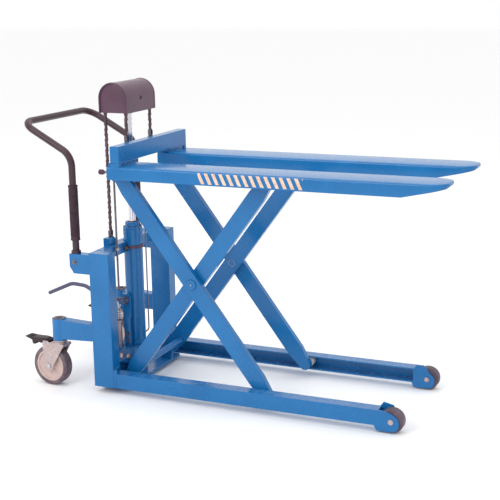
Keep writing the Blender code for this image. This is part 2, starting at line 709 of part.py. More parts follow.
# ---- Assembly ------------------------------------------------------------------------------------------------------
def build_base():
    root = pivot("base_root", 0, 0, 0)
    for make in (leg, column, caster_arm, handle_bracket, grip, chain_anchor):
        for side in SIDES:
            make(side, root)
    for make in (crossbar_top, base_plate, push_handle, cylinder_barrel, gland_nut, clamp_band, valve_block):
        make(root)
    for make in (pump_barrel, pump_bracket, pump_spring):
        make(root)
    for side in SIDES:
        strand("strand_rear", MAST_X - CHAIN_R, side, 548 + GAP, AXLE_Z, root)
        hub = pivot(sided("load_roller_axis", side), LOAD_ROLLER_X, 0, LOAD_ROLLER_R)
        size = (8.3, LOAD_ROLLER_R, (205.5, 240.5))
        roller("load_roller", side, LOAD_ROLLER_X, LOAD_ROLLER_R, *size, "nylon_dark", hub)


def build_pump():
    foot_pedal(pivot("pedal_axis", PEDAL_X, PUMP_Y, PEDAL_Z))
    pump_plunger(pivot("plunger_axis", PUMP_X, PUMP_Y, 0))
    release_rod(pivot("release_axis", MAST_X, RELEASE_Y, 0))


def build_scissor():
    base_pivot = pivot("arm_b_axis", PIVOT_X, 0, PIVOT_Z)
    cross_pivot = pivot("arm_a_axis", CENTRE_X, 0, CENTRE_Z)
    tie_tube(base_pivot)
    for side in SIDES:
        inner_arm(side, base_pivot)
        centre_pin(side, base_pivot)
        outer_arm(side, cross_pivot)
        low = pivot(sided("roller_a_axis", side), ROLLER_X, 0, PIVOT_Z)
        roller("roller_a", side, ROLLER_X, PIVOT_Z, 9.3, 21.7, (208, 238), "nylon_white", low)
        high = pivot(sided("roller_b_axis", side), ROLLER_X, 0, TOP_PIVOT_Z)
        roller("roller_b", side, ROLLER_X, TOP_PIVOT_Z, 10.3, 32.6, (124, 143), "steel", high)


def build_carriage():
    top_pivot = pivot("carriage_axis", PIVOT_X, 0, TOP_PIVOT_Z)
    backrest(top_pivot)
    for side in SIDES:
        fork(side, top_pivot)


def build_piston():
    slide = pivot("piston_axis", MAST_X, 0, 0)
    wheels = pivot("chain_wheel_axis", MAST_X, 0, AXLE_Z)
    piston_rod(slide)
    crosshead(slide)
    chain_cover(slide)
    for side in SIDES:
        chain_wheel(side, wheels)
        strand("strand_front", MAST_X + CHAIN_R, side, 900 + GAP, AXLE_Z, slide)


def build_caster(side, turn_deg):
    stem = pivot(sided("caster_axis", side), STEM_X, side * STEM_Y, 0, turn_deg)
    for make in (caster_yoke, caster_tyre, caster_hub, caster_brake):
        make(side, stem)


build_base()
build_pump()
build_scissor()
build_carriage()
build_piston()
build_caster(-1, SWIVEL_R_DEG)
build_caster(1, 0.0)
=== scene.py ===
"""Looks of a foot-pumped scissor lift truck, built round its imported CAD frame.

Helpers take millimetres in the frame's own axes: +X towards the fork tips, +Y left, +Z up.
A name ending in _r is on the -Y side, and one ending in _l on the +Y side.
"""
import json
import math

import bmesh
import bpy
from mathutils import Matrix, Vector


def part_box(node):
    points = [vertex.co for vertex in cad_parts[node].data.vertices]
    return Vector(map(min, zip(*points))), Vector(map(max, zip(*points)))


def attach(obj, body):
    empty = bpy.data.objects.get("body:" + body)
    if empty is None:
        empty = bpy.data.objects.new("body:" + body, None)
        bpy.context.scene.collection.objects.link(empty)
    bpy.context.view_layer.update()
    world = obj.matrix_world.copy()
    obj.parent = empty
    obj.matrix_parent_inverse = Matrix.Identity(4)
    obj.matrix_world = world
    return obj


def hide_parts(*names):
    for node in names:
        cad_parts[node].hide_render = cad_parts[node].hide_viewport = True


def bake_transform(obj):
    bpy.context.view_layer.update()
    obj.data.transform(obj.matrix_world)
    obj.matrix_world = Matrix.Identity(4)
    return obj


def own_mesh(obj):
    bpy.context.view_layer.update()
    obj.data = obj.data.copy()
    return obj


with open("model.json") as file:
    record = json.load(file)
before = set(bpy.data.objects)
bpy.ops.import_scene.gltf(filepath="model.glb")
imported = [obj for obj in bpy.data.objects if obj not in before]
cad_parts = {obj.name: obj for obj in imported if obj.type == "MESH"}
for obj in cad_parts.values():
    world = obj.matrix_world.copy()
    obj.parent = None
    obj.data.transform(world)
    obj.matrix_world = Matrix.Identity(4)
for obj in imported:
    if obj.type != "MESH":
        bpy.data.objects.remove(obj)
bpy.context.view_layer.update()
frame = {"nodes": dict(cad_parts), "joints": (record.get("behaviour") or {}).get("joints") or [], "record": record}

MM = 0.001
SIDES = (("_r", -1), ("_l", 1))
X, Y, Z = 0, 1, 2
BEHAVIOUR = frame["record"]["behaviour"]
BODY = {node: body for body, members in BEHAVIOUR["bodies"].items() for node in members}
JOINTS = {joint["name"]: joint for joint in frame["joints"]}
scene = bpy.context.scene


def extent(node):
    """A CAD node's lowest and highest corners, in millimetres."""
    lo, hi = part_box(node)
    return lo / MM, hi / MM


def pivot_of(joint):
    """The point that a hinge turns about, in millimetres."""
    return Vector(JOINTS[joint]["pos_m"]) / MM


def span(side, a, b):
    """Two distances from the middle plane, as the lower and the higher y on one side."""
    return sorted((side * a, side * b))


# ---- Camera, light and floor ----
AZIMUTH = math.radians(24.0)
ELEVATION = math.radians(13.2)
ROLL = math.radians(-1.0)
CAMERA_PLACE = (1.650, -3.646, 1.455)
LENS = 82.5


def make_camera():
    back = Vector((
        math.sin(AZIMUTH) * math.cos(ELEVATION),
        -math.cos(AZIMUTH) * math.cos(ELEVATION),
        math.sin(ELEVATION),
    ))
    right = Vector((math.cos(AZIMUTH), math.sin(AZIMUTH), 0))
    up = back.cross(right)
    rolled_right = right * math.cos(ROLL) + up * math.sin(ROLL)
    rolled_up = up * math.cos(ROLL) - right * math.sin(ROLL)
    turn = Matrix((rolled_right, rolled_up, back)).transposed()
    data = bpy.data.cameras.new("camera")
    data.sensor_width = 36.0
    data.lens = LENS
    data.clip_end = 50
    camera = bpy.data.objects.new("camera", data)
    camera.matrix_world = Matrix.Translation(CAMERA_PLACE) @ turn.to_4x4()
    scene.collection.objects.link(camera)
    scene.camera = camera


def area_light(name, place, target, size, power):
    data = bpy.data.lights.new(name, "AREA")
    data.shape = "SQUARE"
    data.size = size
    data.energy = power
    lamp = bpy.data.objects.new(name, data)
    lamp.location = place
    lamp.rotation_mode = "QUATERNION"
    lamp.rotation_quaternion = (Vector(target) - Vector(place)).to_track_quat("-Z", "Y")
    scene.collection.objects.link(lamp)


def make_stage():
    """White surroundings and a pale floor."""
    world = bpy.data.worlds.new("world")
    world.use_nodes = True
    world.node_tree.nodes["Background"].inputs["Color"].default_value = (1, 1, 1, 1)
    world.node_tree.nodes["Background"].inputs["Strength"].default_value = 1.0
    scene.world = world
    scene.view_settings.view_transform = "Standard"
    bpy.ops.mesh.primitive_plane_add(size=60, location=(0, 0, -0.0005))
    floor = bpy.context.object
    floor.name = "floor"
    material = bpy.data.materials.new("floor")
    material.use_nodes = True
    shader = material.node_tree.nodes["Principled BSDF"]
    shader.inputs["Base Color"].default_value = (0.97, 0.97, 0.97, 1)
    shader.inputs["Roughness"].default_value = 0.9
    floor.data.materials.append(material)


make_camera()
area_light("key", (-1.5, -4.0, 3.2), (0, 0, 0.4), 2.5, 70)
area_light("top", (0.0, 0.5, 4.0), (0, 0, 0.4), 3.0, 40)
make_stage()


# ---- Materials ----
class Finish:
    """A Principled material, with short calls for the procedural nodes that feed it."""

    def __init__(self, name, roughness, metallic=0.0, **sockets):
        self.material = bpy.data.materials.new(name)
        self.material.use_nodes = True
        self.tree = self.material.node_tree
        self.shader = self.tree.nodes["Principled BSDF"]
        self.shader.inputs["Roughness"].default_value = roughness
        self.shader.inputs["Metallic"].default_value = metallic
        for socket, value in sockets.items():
            self.shader.inputs[socket.replace("_", " ")].default_value = value
        self.roughness = roughness
        self.place = self.node("ShaderNodeTexCoord").outputs["Object"]

    def node(self, kind, **inputs):
        made = self.tree.nodes.new(kind)
        for socket, value in inputs.items():
            self.feed(value, made.inputs[socket.replace("_", " ")])
        return made

    def feed(self, value, socket):
        """Links an output to a socket, or sets the socket to a plain value."""
        if isinstance(value, bpy.types.NodeSocket):
            self.tree.links.new(value, socket)
        else:
            socket.default_value = value

    def noise(self, scale, detail=3.0, stretch=(1, 1, 1)):
        mapping = self.node("ShaderNodeMapping", Vector=self.place, Scale=stretch)
        noise = self.node("ShaderNodeTexNoise", Vector=mapping.outputs[0], Scale=scale, Detail=detail)
        return noise.outputs["Fac"]

    def cells(self, scale):
        return self.node("ShaderNodeTexVoronoi", Vector=self.place, Scale=scale).outputs["Color"]

    def spread(self, value, low, high, start=0.3, stop=0.7):
        """Maps a noise's middle range onto low to high."""
        made = self.node("ShaderNodeMapRange", Value=value)
        for socket, number in zip(("From Min", "From Max", "To Min", "To Max"), (start, stop, low, high)):
            made.inputs[socket].default_value = number
        return made.outputs[0]

    def maths(self, operation, a, b):
        made = self.tree.nodes.new("ShaderNodeMath")
        made.operation = operation
        self.feed(a, made.inputs[0])
        self.feed(b, made.inputs[1])
        return made.outputs[0]

    def times(self, a, b):
        return self.maths("MULTIPLY", a, b)

    def split(self, vector):
        """A vector's X, Y and Z as outputs of their own."""
        return self.node("ShaderNodeSeparateXYZ", Vector=vector).outputs

    def mix(self, share, a, b):
        made = self.tree.nodes.new("ShaderNodeMix")
        made.data_type = "RGBA"
        self.feed(share, made.inputs["Factor"])
        self.feed(a, made.inputs[6])
        self.feed(b, made.inputs[7])
        return made.outputs[2]

    def colour(self, value):
        self.feed(value, self.shader.inputs["Base Color"])

    def rough(self, noise, swing):
        value = self.spread(noise, self.roughness - swing, self.roughness + swing)
        self.feed(value, self.shader.inputs["Roughness"])

    def bump(self, height, strength, distance_mm):
        made = self.node("ShaderNodeBump", Height=height, Strength=strength, Distance=distance_mm * MM)
        self.feed(made.outputs[0], self.shader.inputs["Normal"])

    def cloudy(self, base, light):
        """Slow changes between two depths of a paint."""
        return self.mix(self.spread(self.noise(7, 4), 0, 1), base, light)

    def orange_peel(self):
        self.rough(self.noise(60, 5), 0.05)
        self.bump(self.noise(420, 2), 0.10, 0.35)


def rgb(red, green, blue):
    return (red, green, blue, 1)


def enamel_finish(name, roughness, coat):
    return Finish(name, roughness, Coat_Weight=coat, Coat_Roughness=0.08, Specular_IOR_Level=0.30)


def enamel(name, base, light, roughness, coat, dust):
    """Sprayed enamel: orange peel, slow changes of depth, and a little dust on what faces up."""
    made = enamel_finish(name, roughness, coat)
    facing = made.split(made.node("ShaderNodeNewGeometry").outputs["Normal"])
    level = made.spread(facing["Z"], 0, dust, 0.7, 1.0)
    patch = made.spread(made.noise(38, 6), 0, 1, 0.42, 0.62)
    made.colour(made.mix(made.times(level, patch), made.cloudy(base, light), rgb(0.55, 0.56, 0.60)))
    made.orange_peel()
    return made.material


def brushed(name, base, light, roughness, stretch, metallic=1.0, scratch=0.08):
    """Bare or plated metal with fine marks along one direction."""
    made = Finish(name, roughness, metallic)
    marks = made.noise(90, 4, stretch)
    cloud = made.noise(25, 3)
    made.colour(made.mix(made.spread(cloud, 0, 1), base, light))
    made.rough(marks, 0.07)
    made.bump(marks, scratch, 0.2)
    return made.material


def zinc_plate():
    """Zinc plating: small crystals of slightly different brightness."""
    made = Finish("zinc", 0.36, 0.85)
    crystal = made.node("ShaderNodeSeparateColor", Color=made.cells(260)).outputs[0]
    made.colour(made.mix(crystal, rgb(0.44, 0.35, 0.345), rgb(0.58, 0.48, 0.475)))
    made.rough(made.noise(120, 4), 0.08)
    made.bump(made.noise(500, 2), 0.06, 0.2)
    return made.material


def moulded(name, base, light, roughness, grain, depth, coat=0.0):
    """Moulded rubber or plastic with a fine grain and rubbed, slightly paler patches."""
    made = Finish(name, roughness, 0.0, Coat_Weight=coat, Specular_IOR_Level=0.30)
    made.colour(made.mix(made.spread(made.noise(30, 5), 0, 1, 0.35, 0.7), base, light))
    made.rough(made.noise(45, 4), 0.08)
    made.bump(made.noise(grain, 3), 0.25, depth)
    return made.material


BLUE = rgb(0.005, 0.130, 0.355)
LIGHT_BLUE = rgb(0.010, 0.158, 0.410)
BLUE_ROUGHNESS = 0.24
BLUE_COAT = 0.25

# Each row holds a maker's own arguments, in order.
ENAMELS = (
    ("blue_paint", BLUE, LIGHT_BLUE, BLUE_ROUGHNESS, BLUE_COAT, 0.07),
    ("dark_paint", rgb(0.080, 0.034, 0.060), rgb(0.110, 0.052, 0.084), 0.32, 0.2, 0.05),
    ("pedal_paint", rgb(0.055, 0.058, 0.115), rgb(0.080, 0.080, 0.150), 0.34, 0.2, 0.05),
    ("handle_paint", rgb(0.034, 0.014, 0.022), rgb(0.054, 0.025, 0.036), 0.34, 0.15, 0.02),
)
MOULDINGS = (
    ("grip_rubber", rgb(0.034, 0.014, 0.023), rgb(0.054, 0.028, 0.038), 0.62, 900, 0.25),
    ("nylon_dark", rgb(0.085, 0.060, 0.082), rgb(0.15, 0.11, 0.14), 0.50, 500, 0.3),
    ("tyre_rubber", rgb(0.10, 0.068, 0.086), rgb(0.20, 0.15, 0.165), 0.68, 700, 0.3),
    ("nylon_white", rgb(0.62, 0.60, 0.60), rgb(0.76, 0.74, 0.73), 0.42, 600, 0.15, 0.1),
    ("hub_plastic", rgb(0.50, 0.375, 0.345), rgb(0.61, 0.455, 0.42), 0.45, 600, 0.15, 0.2),
    ("pedal_black", rgb(0.026, 0.012, 0.018), rgb(0.046, 0.026, 0.034), 0.45, 700, 0.2, 0.05),
)
METALS = (
    ("black_oxide", rgb(0.13, 0.12, 0.14), rgb(0.24, 0.22, 0.25), 0.40, (1, 1, 0.25), 0.85),
    ("chrome", rgb(0.66, 0.64, 0.68), rgb(0.76, 0.74, 0.78), 0.14, (6, 6, 0.2), 1.0, 0.03),
    ("steel", rgb(0.42, 0.40, 0.42), rgb(0.60, 0.58, 0.60), 0.32, (0.3, 6, 0.3)),
    ("chain_steel", rgb(0.085, 0.045, 0.062), rgb(0.150, 0.088, 0.112), 0.44, (1, 1, 0.3), 0.35),
    ("copper_tone", rgb(0.42, 0.30, 0.29), rgb(0.58, 0.44, 0.43), 0.34, (1, 1, 0.3), 0.8),
)
LOOKS = {"zinc": zinc_plate()}
for maker, rows in ((enamel, ENAMELS), (moulded, MOULDINGS), (brushed, METALS)):
    LOOKS.update({row[0]: maker(*row) for row in rows})


# ---- Building blocks ----
def arc(cx, cy, radius, start_deg, end_deg, steps):
    """Points on an arc, both ends included."""
    points = []
    for i in range(steps + 1):
        t = math.radians(start_deg + (end_deg - start_deg) * i / steps)
        points.append((cx + radius * math.cos(t), cy + radius * math.sin(t)))
    return points


def bent(points, radii, steps=10):
    """A path with its inner corners turned into arcs of the given radii."""
    pts = [Vector(p) for p in points]
    path = [pts[0]]
    for before, corner, after, radius in zip(pts, pts[1:], pts[2:], radii):
        a = (before - corner).normalized()
        b = (after - corner).normalized()
        half = 0.5 * a.angle(b)
        centre = corner + (a + b).normalized() * (radius / math.sin(half))
        u = (corner + a * (radius / math.tan(half)) - centre).normalized()
        v = (corner + b * (radius / math.tan(half)) - centre).normalized()
        total = u.angle(v)
        for k in range(steps + 1):
            t = total * k / steps
            w = (u * math.sin(total - t) + v * math.sin(t)) / math.sin(total)
            path.append(centre + w * radius)
    path.append(pts[-1])
    return path


def rounded(outline, radius, steps=4, closed=True):
    """A flat outline with each corner turned into a small arc. The radius shrinks at short sides."""
    pts = [Vector((p[0], p[1], 0)) for p in outline]
    count = len(pts)
    result = []
    for i, corner in enumerate(pts):
        if not closed and i in (0, count - 1):
            result.append((corner.x, corner.y))
            continue
        before = pts[i - 1]
        after = pts[(i + 1) % count]
        a = before - corner
        b = after - corner
        half = 0.5 * a.angle(b)
        room = 0.45 * min(a.length, b.length)
        if half > math.radians(86) or half < math.radians(4):
            result.append((corner.x, corner.y))
            continue
        cut = min(radius / math.tan(half), room)
        ends = corner + a.normalized() * cut, corner + b.normalized() * cut
        for k in range(steps + 1):
            t = k / steps
            p = ends[0] * (1 - t) ** 2 + corner * (2 * t * (1 - t)) + ends[1] * t ** 2
            result.append((p.x, p.y))
    return result


def towards(place, axis, sign=1):
    """A matrix that takes local +Z to plus or minus a frame axis, and the local origin to a place."""
    direction = Vector((0, 0, 0))
    direction[axis] = sign
    turn = Vector((0, 0, 1)).rotation_difference(direction)
    return Matrix.Translation(place) @ turn.to_matrix().to_4x4()


def beside(pivot, side):
    """Local +Z outwards along a pivot's line, so that heights are distances from the middle plane."""
    return towards((pivot.x, 0, pivot.z), Y, side)


def at(x, y, z):
    return Matrix.Translation((x, y, z))


def mirrored(profile):
    """A (radius, height) profile, followed by its reflection in height 0."""
    return profile + [(radius, -height) for radius, height in reversed(profile)]


def polar(radius, t, z=0.0):
    return radius * math.cos(t), radius * math.sin(t), z


def round_circle(count, start_deg=0.0):
    """Evenly spaced angles."""
    return [math.radians(start_deg + 360.0 * i / count) for i in range(count)]


class Piece:
    """One visible piece, built up from simple solids in millimetres."""

    def __init__(self, name):
        self.name = name
        self.bm = bmesh.new()

    def settle(self, verts, place, soft=0.0):
        """Puts new vertices in place, after rounding the solid's sharp edges by soft."""
        if soft:
            edges = {e for v in verts for e in v.link_edges if e.calc_face_angle(0) > math.radians(28)}
            how = {"offset": soft, "segments": 2, "profile": 0.5, "affect": "EDGES", "clamp_overlap": True}
            made = bmesh.ops.bevel(self.bm, geom=list(edges), **how)
            kept = {v for v in verts if v.is_valid}
            verts = list(kept.union(made["verts"]))
        bmesh.ops.transform(self.bm, matrix=place, verts=verts)
        return self

    def box(self, lo, hi, soft=0.0, place=Matrix()):
        verts = bmesh.ops.create_cube(self.bm, size=1.0)["verts"]
        size = [hi[i] - lo[i] for i in range(3)]
        middle = [0.5 * (lo[i] + hi[i]) for i in range(3)]
        bmesh.ops.scale(self.bm, vec=size, verts=verts)
        bmesh.ops.translate(self.bm, vec=middle, verts=verts)
        return self.settle(verts, place, soft)

    def skin(self, rings, loop=False, capped=False):
        """Faces between rings of vertices. A ring of one vertex is a pole."""
        pairs = list(zip(rings, rings[1:]))
        if loop:
            pairs.append((rings[-1], rings[0]))
        faces = []
        for low, high in pairs:
            steps = max(len(low), len(high))
            for k in range(steps):
                after = (k + 1) % steps
                places = (low, k), (low, after), (high, after), (high, k)
                corners = list(dict.fromkeys(ring[i % len(ring)] for ring, i in places))
                if len(corners) > 2:
                    faces.append(self.bm.faces.new(corners))
        if capped:
            faces += [self.bm.faces.new(rings[0]), self.bm.faces.new(rings[-1])]
        bmesh.ops.recalc_face_normals(self.bm, faces=faces)
        return [v for ring in rings for v in ring]

    def turned(self, profile, place=Matrix(), steps=48):
        """A (radius, height) profile turned about local Z. A ring, unless both ends are at radius 0."""
        rings = []
        for radius, height in profile:
            angles = round_circle(steps) if radius > 1e-6 else [0.0]
            rings.append([self.bm.verts.new(polar(radius, t, height)) for t in angles])
        solid = len(rings[0]) == 1 and len(rings[-1]) == 1
        return self.settle(self.skin(rings, loop=not solid), place)

    def ring(self, bore, radius, low, high, place, steps, cut=None):
        """A washer or tube, or a disc or pin where the bore is 0. cut chamfers its upper edge, in and down."""
        rim = [(radius, high - cut[1]), (radius - cut[0], high)] if cut else [(radius, high)]
        return self.turned([(bore, low), (radius, low)] + rim + [(bore, high)], place, steps)

    def plate(self, outline, axis, lo, hi, soft=0.0, place=Matrix()):
        """A flat outline with a thickness along an axis. Its points hold the other two coordinates."""
        others = [i for i in range(3) if i != axis]
        verts = []
        for a, b in outline:
            point = [0.0, 0.0, 0.0]
            point[axis] = lo
            point[others[0]] = a
            point[others[1]] = b
            verts.append(self.bm.verts.new(point))
        face = self.bm.faces.new(verts)
        made = bmesh.ops.extrude_face_region(self.bm, geom=[face])
        moved = [g for g in made["geom"] if isinstance(g, bmesh.types.BMVert)]
        shift = [0.0, 0.0, 0.0]
        shift[axis] = hi - lo
        bmesh.ops.translate(self.bm, vec=shift, verts=moved)
        verts += moved
        faces = {f for v in verts for f in v.link_faces}
        bmesh.ops.recalc_face_normals(self.bm, faces=list(faces))
        return self.settle(verts, place, soft)

    def loft(self, sections):
        """A solid through a row of closed sections, each with the same number of points."""
        self.skin([[self.bm.verts.new(point) for point in section] for section in sections], capped=True)
        return self

    def tube(self, path, radius, sides=12, place=Matrix(), loop=False):
        """A round tube along a path. The radius is a number, or one for each point."""
        pts = [Vector(p) for p in path]
        count = len(pts)
        radii = radius if isinstance(radius, (list, tuple)) else [radius] * count
        rings = []
        normal = None
        for i, p in enumerate(pts):
            before = pts[i - 1] if (i or loop) else p
            after = pts[(i + 1) % count] if (i < count - 1 or loop) else p
            along = (after - before).normalized()
            if normal is None:
                normal = along.orthogonal().normalized()
            normal = (normal - along * normal.dot(along)).normalized()
            other = along.cross(normal)
            spokes = [(normal * math.cos(t) + other * math.sin(t)) * radii[i] for t in round_circle(sides)]
            rings.append([self.bm.verts.new(p + spoke) for spoke in spokes])
        return self.settle(self.skin(rings, loop=loop, capped=not loop), place)

    def coil(self, place, radius, wire, low, high, turns, steps, flat=0.0):
        """A coil spring about local Z. A share of its length, flat, lies level at each end."""
        path = []
        count = turns * steps
        for i in range(count + 1):
            rise = min(max((i / count - flat) / (1 - 2 * flat), 0), 1)
            t = 2 * math.pi * turns * i / count
            path.append(polar(radius, t, low + (high - low) * rise))
        return self.tube(path, wire, 10, place)

    def hexagon(self, flats, low, high, place=Matrix()):
        """A six-sided head with its outer corners chamfered."""
        edge = 0.06 * flats
        radius = flats / math.sqrt(3)
        sizes = {"radius1": radius, "radius2": radius, "depth": high - low}
        verts = bmesh.ops.create_cone(self.bm, cap_ends=True, segments=6, **sizes)["verts"]
        bmesh.ops.translate(self.bm, vec=(0, 0, 0.5 * (low + high)), verts=verts)
        return self.settle(verts, place, edge)

    def bolt(self, place, flats=13.0, head=6.0):
        """Hexagon head on a washer, with the end of its thread just proud of it."""
        washer = 0.98 * flats
        self.ring(0, washer, 0, 1.8, place, 28, (0.6, 0.6))
        self.hexagon(flats, 1.8, 1.8 + head, place)
        return self.ring(0, 0.30 * flats, head, head + 3.4, place, 20, (0.8, 0.8))

    def socket_screw(self, place, radius=4.5, head=4.0):
        """Cap head with a socket."""
        inner = 0.5 * radius
        low = 0.4 * head
        outer = [(0, 0), (radius, 0), (radius, head - 0.6), (radius - 0.6, head)]
        return self.turned(outer + [(inner, head), (inner, low), (0, low)], place, 24)

    def circlip(self, place, radius):
        """Retaining ring with two eyes, lying in its groove."""
        path = [polar(radius, math.radians(14 + 332 * i / 30)) for i in range(31)]
        self.tube(path, 0.9, 8, place)
        for x, y, _ in (path[0], path[-1]):
            self.ring(0.7, 1.9, 0, 1.8, place @ at(x * 1.08, y * 1.08, -0.9), 12)
        return self

    def weld(self, start, end, size=3.0):
        """A straight fillet bead, rippled along its length."""
        a = Vector(start)
        b = Vector(end)
        count = max(int((b - a).length / 1.6), 4)
        path = [a.lerp(b, i / count) for i in range(count + 1)]
        radii = []
        for i in range(count + 1):
            ends = min(1.0, 0.45 + 0.25 * min(i, count - i))
            radii.append(size * ends * (1 + 0.09 * math.sin(2.1 * i) + 0.04 * math.sin(0.7 * i)))
        return self.tube(path, radii, 8)

    def welds(self, runs, side):
        """Beads given as (start, end, size), with y counted outwards from the middle plane."""
        for (x0, y0, z0), (x1, y1, z1), size in runs:
            self.weld((x0, y0 * side, z0), (x1, y1 * side, z1), size)

    def ring_weld(self, place, radius, size=2.5):
        """A fillet bead round a tube or a boss."""
        path = [polar(radius, t) for t in round_circle(int(2 * math.pi * radius / 1.8))]
        radii = [size * (1 + 0.08 * math.sin(2.3 * i)) for i in range(len(path))]
        return self.tube(path, radii, 8, place, loop=True)

    def done(self, look, body, replaced=(), turn=Matrix(), smooth_deg=32):
        """Makes the object, gives it its look, and lets it ride on a body in the place of CAD nodes."""
        bmesh.ops.transform(self.bm, matrix=turn, verts=self.bm.verts)
        bmesh.ops.scale(self.bm, vec=(MM, MM, MM), verts=self.bm.verts)
        mesh = bpy.data.meshes.new(self.name)
        self.bm.to_mesh(mesh)
        self.bm.free()
        mesh.materials.append(LOOKS.get(look) or look)
        mesh.shade_smooth()
        mesh.set_sharp_from_angle(angle=math.radians(smooth_deg))
        obj = bpy.data.objects.new(self.name, mesh)
        scene.collection.objects.link(obj)
        if replaced:
            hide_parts(*replaced)
        if body:
            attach(obj, body)
        return obj


EDGE_WIDTH = 1.6


def modifier(obj, kind, **settings):
    made = obj.modifiers.new(kind.lower(), kind)
    for name, value in settings.items():
        setattr(made, name, value)


def soften(node, look):
    """Keeps a CAD node, with its look and with its sharp edges rounded."""
    obj = frame["nodes"][node]
    obj.data.materials.clear()
    obj.data.materials.append(LOOKS[look])
    for polygon in obj.data.polygons:
        polygon.use_smooth = True
    modifier(obj, "WELD", merge_threshold=2e-6)
    modifier(obj, "DECIMATE", decimate_type="DISSOLVE", angle_limit=math.radians(0.4))
    corners = {"limit_method": "ANGLE", "angle_limit": math.radians(32)}
    modifier(obj, "BEVEL", width=EDGE_WIDTH * MM, segments=2, harden_normals=False, **corners)
    modifier(obj, "WEIGHTED_NORMAL", weight=80)


# ---- Hazard stripes on the forks' outer sides ----
STRIPE_X = (-47.0, 330.0)
STRIPE_MARGINS = (19.0, 16.0)
STRIPE_PERIOD = 27.0
STRIPE_SHARE = 0.46
STRIPE_LEAN = 0.45
STRIPE_FACING = 0.9
STRIPE_MIN_Y = 200.0


def striped_enamel():
    """The blue enamel, with slanted stripes on the outer side of each fork."""
    made = enamel_finish("striped_enamel", BLUE_ROUGHNESS, BLUE_COAT)
    point = made.split(made.place)
    facing = made.split(made.node("ShaderNodeNewGeometry").outputs["Normal"])
    lo, hi = extent("fork_r")
    slant = made.maths("ADD", point["X"], made.times(point["Z"], STRIPE_LEAN))
    tests = (
        ("LESS_THAN", made.maths("FRACT", made.times(slant, 1000.0 / STRIPE_PERIOD), 0.0), STRIPE_SHARE),
        ("GREATER_THAN", point["X"], STRIPE_X[0] * MM),
        ("LESS_THAN", point["X"], STRIPE_X[1] * MM),
        ("GREATER_THAN", point["Z"], (lo.z + STRIPE_MARGINS[0]) * MM),
        ("LESS_THAN", point["Z"], (hi.z - STRIPE_MARGINS[1]) * MM),
        ("GREATER_THAN", made.maths("ABSOLUTE", facing["Y"], 0.0), STRIPE_FACING),
        ("GREATER_THAN", made.maths("ABSOLUTE", point["Y"], 0.0), STRIPE_MIN_Y * MM),
    )
    mask = 1.0
    for test in tests:
        mask = made.times(mask, made.maths(*test))
    worn = made.spread(made.noise(160, 6), 1.0, 0.55, 0.5, 0.68)
    ink = made.mix(made.spread(made.noise(60, 4), 0, 1), rgb(0.80, 0.47, 0.28), rgb(0.86, 0.64, 0.48))
    made.colour(made.mix(made.times(mask, worn), made.cloudy(BLUE, LIGHT_BLUE), ink))
    made.orange_peel()
    return made.material


# ---- Welded structure ----
LEG_OUTER_Y = 246.0


def keep_structure():
    """Steelwork whose shape comes straight from the frame."""
    for suffix, _ in SIDES:
        for name in ("leg", "column", "caster_arm", "handle_bracket", "chain_anchor", "arm_a", "arm_b"):
            soften(name + suffix, "blue_paint")
    for name in ("crossbar_top", "base_plate", "valve_block", "pump_bracket", "tie_tube", "backrest"):
        soften(name, "blue_paint")


FORK_TOP = 838.0
FORK_EDGE_R = 8.0
FORK_WALL = 5.0
HEEL_X = -399.0
SKIRT_Z = 792.0
TAPER_X = 655.0
HOLLOW_END_X = 675.0
NOSE_X = 742.0
NOSE_INSET = 55.0
BLUNT_X = 793.0
TIP_X = 801.0
SKIRT = ((HEEL_X, SKIRT_Z), (TAPER_X, SKIRT_Z), (BLUNT_X, 822), (TIP_X, 828))
HOLLOW_ROW = (HEEL_X, 0, 330, TAPER_X, HOLLOW_END_X)
SOLID_ROW = (HOLLOW_END_X, NOSE_X, 750, 757, 764, 771, 777, 783, 788, 792, 795, 797.5, 799.3, 800.4, TIP_X)
PAD_X = (-396.0, -351.0)
PAD_Y = (126.0, 246.0)
BAR_X = (-383.0, -348.0)
BAR_FOOT = 850.0
LUG_Y = (193.7, 199.2)
LUG_FRONT_X = -370.0


def skirt_z(x):
    """Height of a fork's lower edge at one x."""
    for (x0, z0), (x1, z1) in zip(SKIRT, SKIRT[1:]):
        if x <= x1:
            return z0 + (z1 - z0) * (x - x0) / (x1 - x0)
    return SKIRT[-1][1]


def fork_section(x, y_in, y_out, side, hollow):
    """Cross section of a fork at one x: a channel, or solid near the tip."""
    low = skirt_z(x)
    nose = min(max((x - NOSE_X) / (TIP_X - NOSE_X), 0.0), 1.0)
    inset = NOSE_INSET * (1.0 - math.sqrt(1.0 - nose ** 2))
    top = FORK_TOP - 5.0 * max((x - BLUNT_X) / (TIP_X - BLUNT_X), 0.0) ** 2
    a = y_in + inset
    b = y_out - inset
    r = min(FORK_EDGE_R, 0.5 * (top - low) - 1.6)
    points = [(b - 1, low), (b, low + 1)] + arc(b - r, top - r, r, 0, 90, 6)
    points += arc(a + r, top - r, r, 90, 180, 6) + [(a, low + 1), (a + 1, low)]
    if hollow:
        a += FORK_WALL
        b -= FORK_WALL
        under = top - FORK_WALL - 3
        points += [(a - 1, low), (a, low + 1)] + arc(a + 3, under, 3, 180, 90, 3)
        points += arc(b - 3, under, 3, 90, 0, 3) + [(b, low + 1), (b + 1, low)]
    return [(x, side * y, z) for y, z in points]


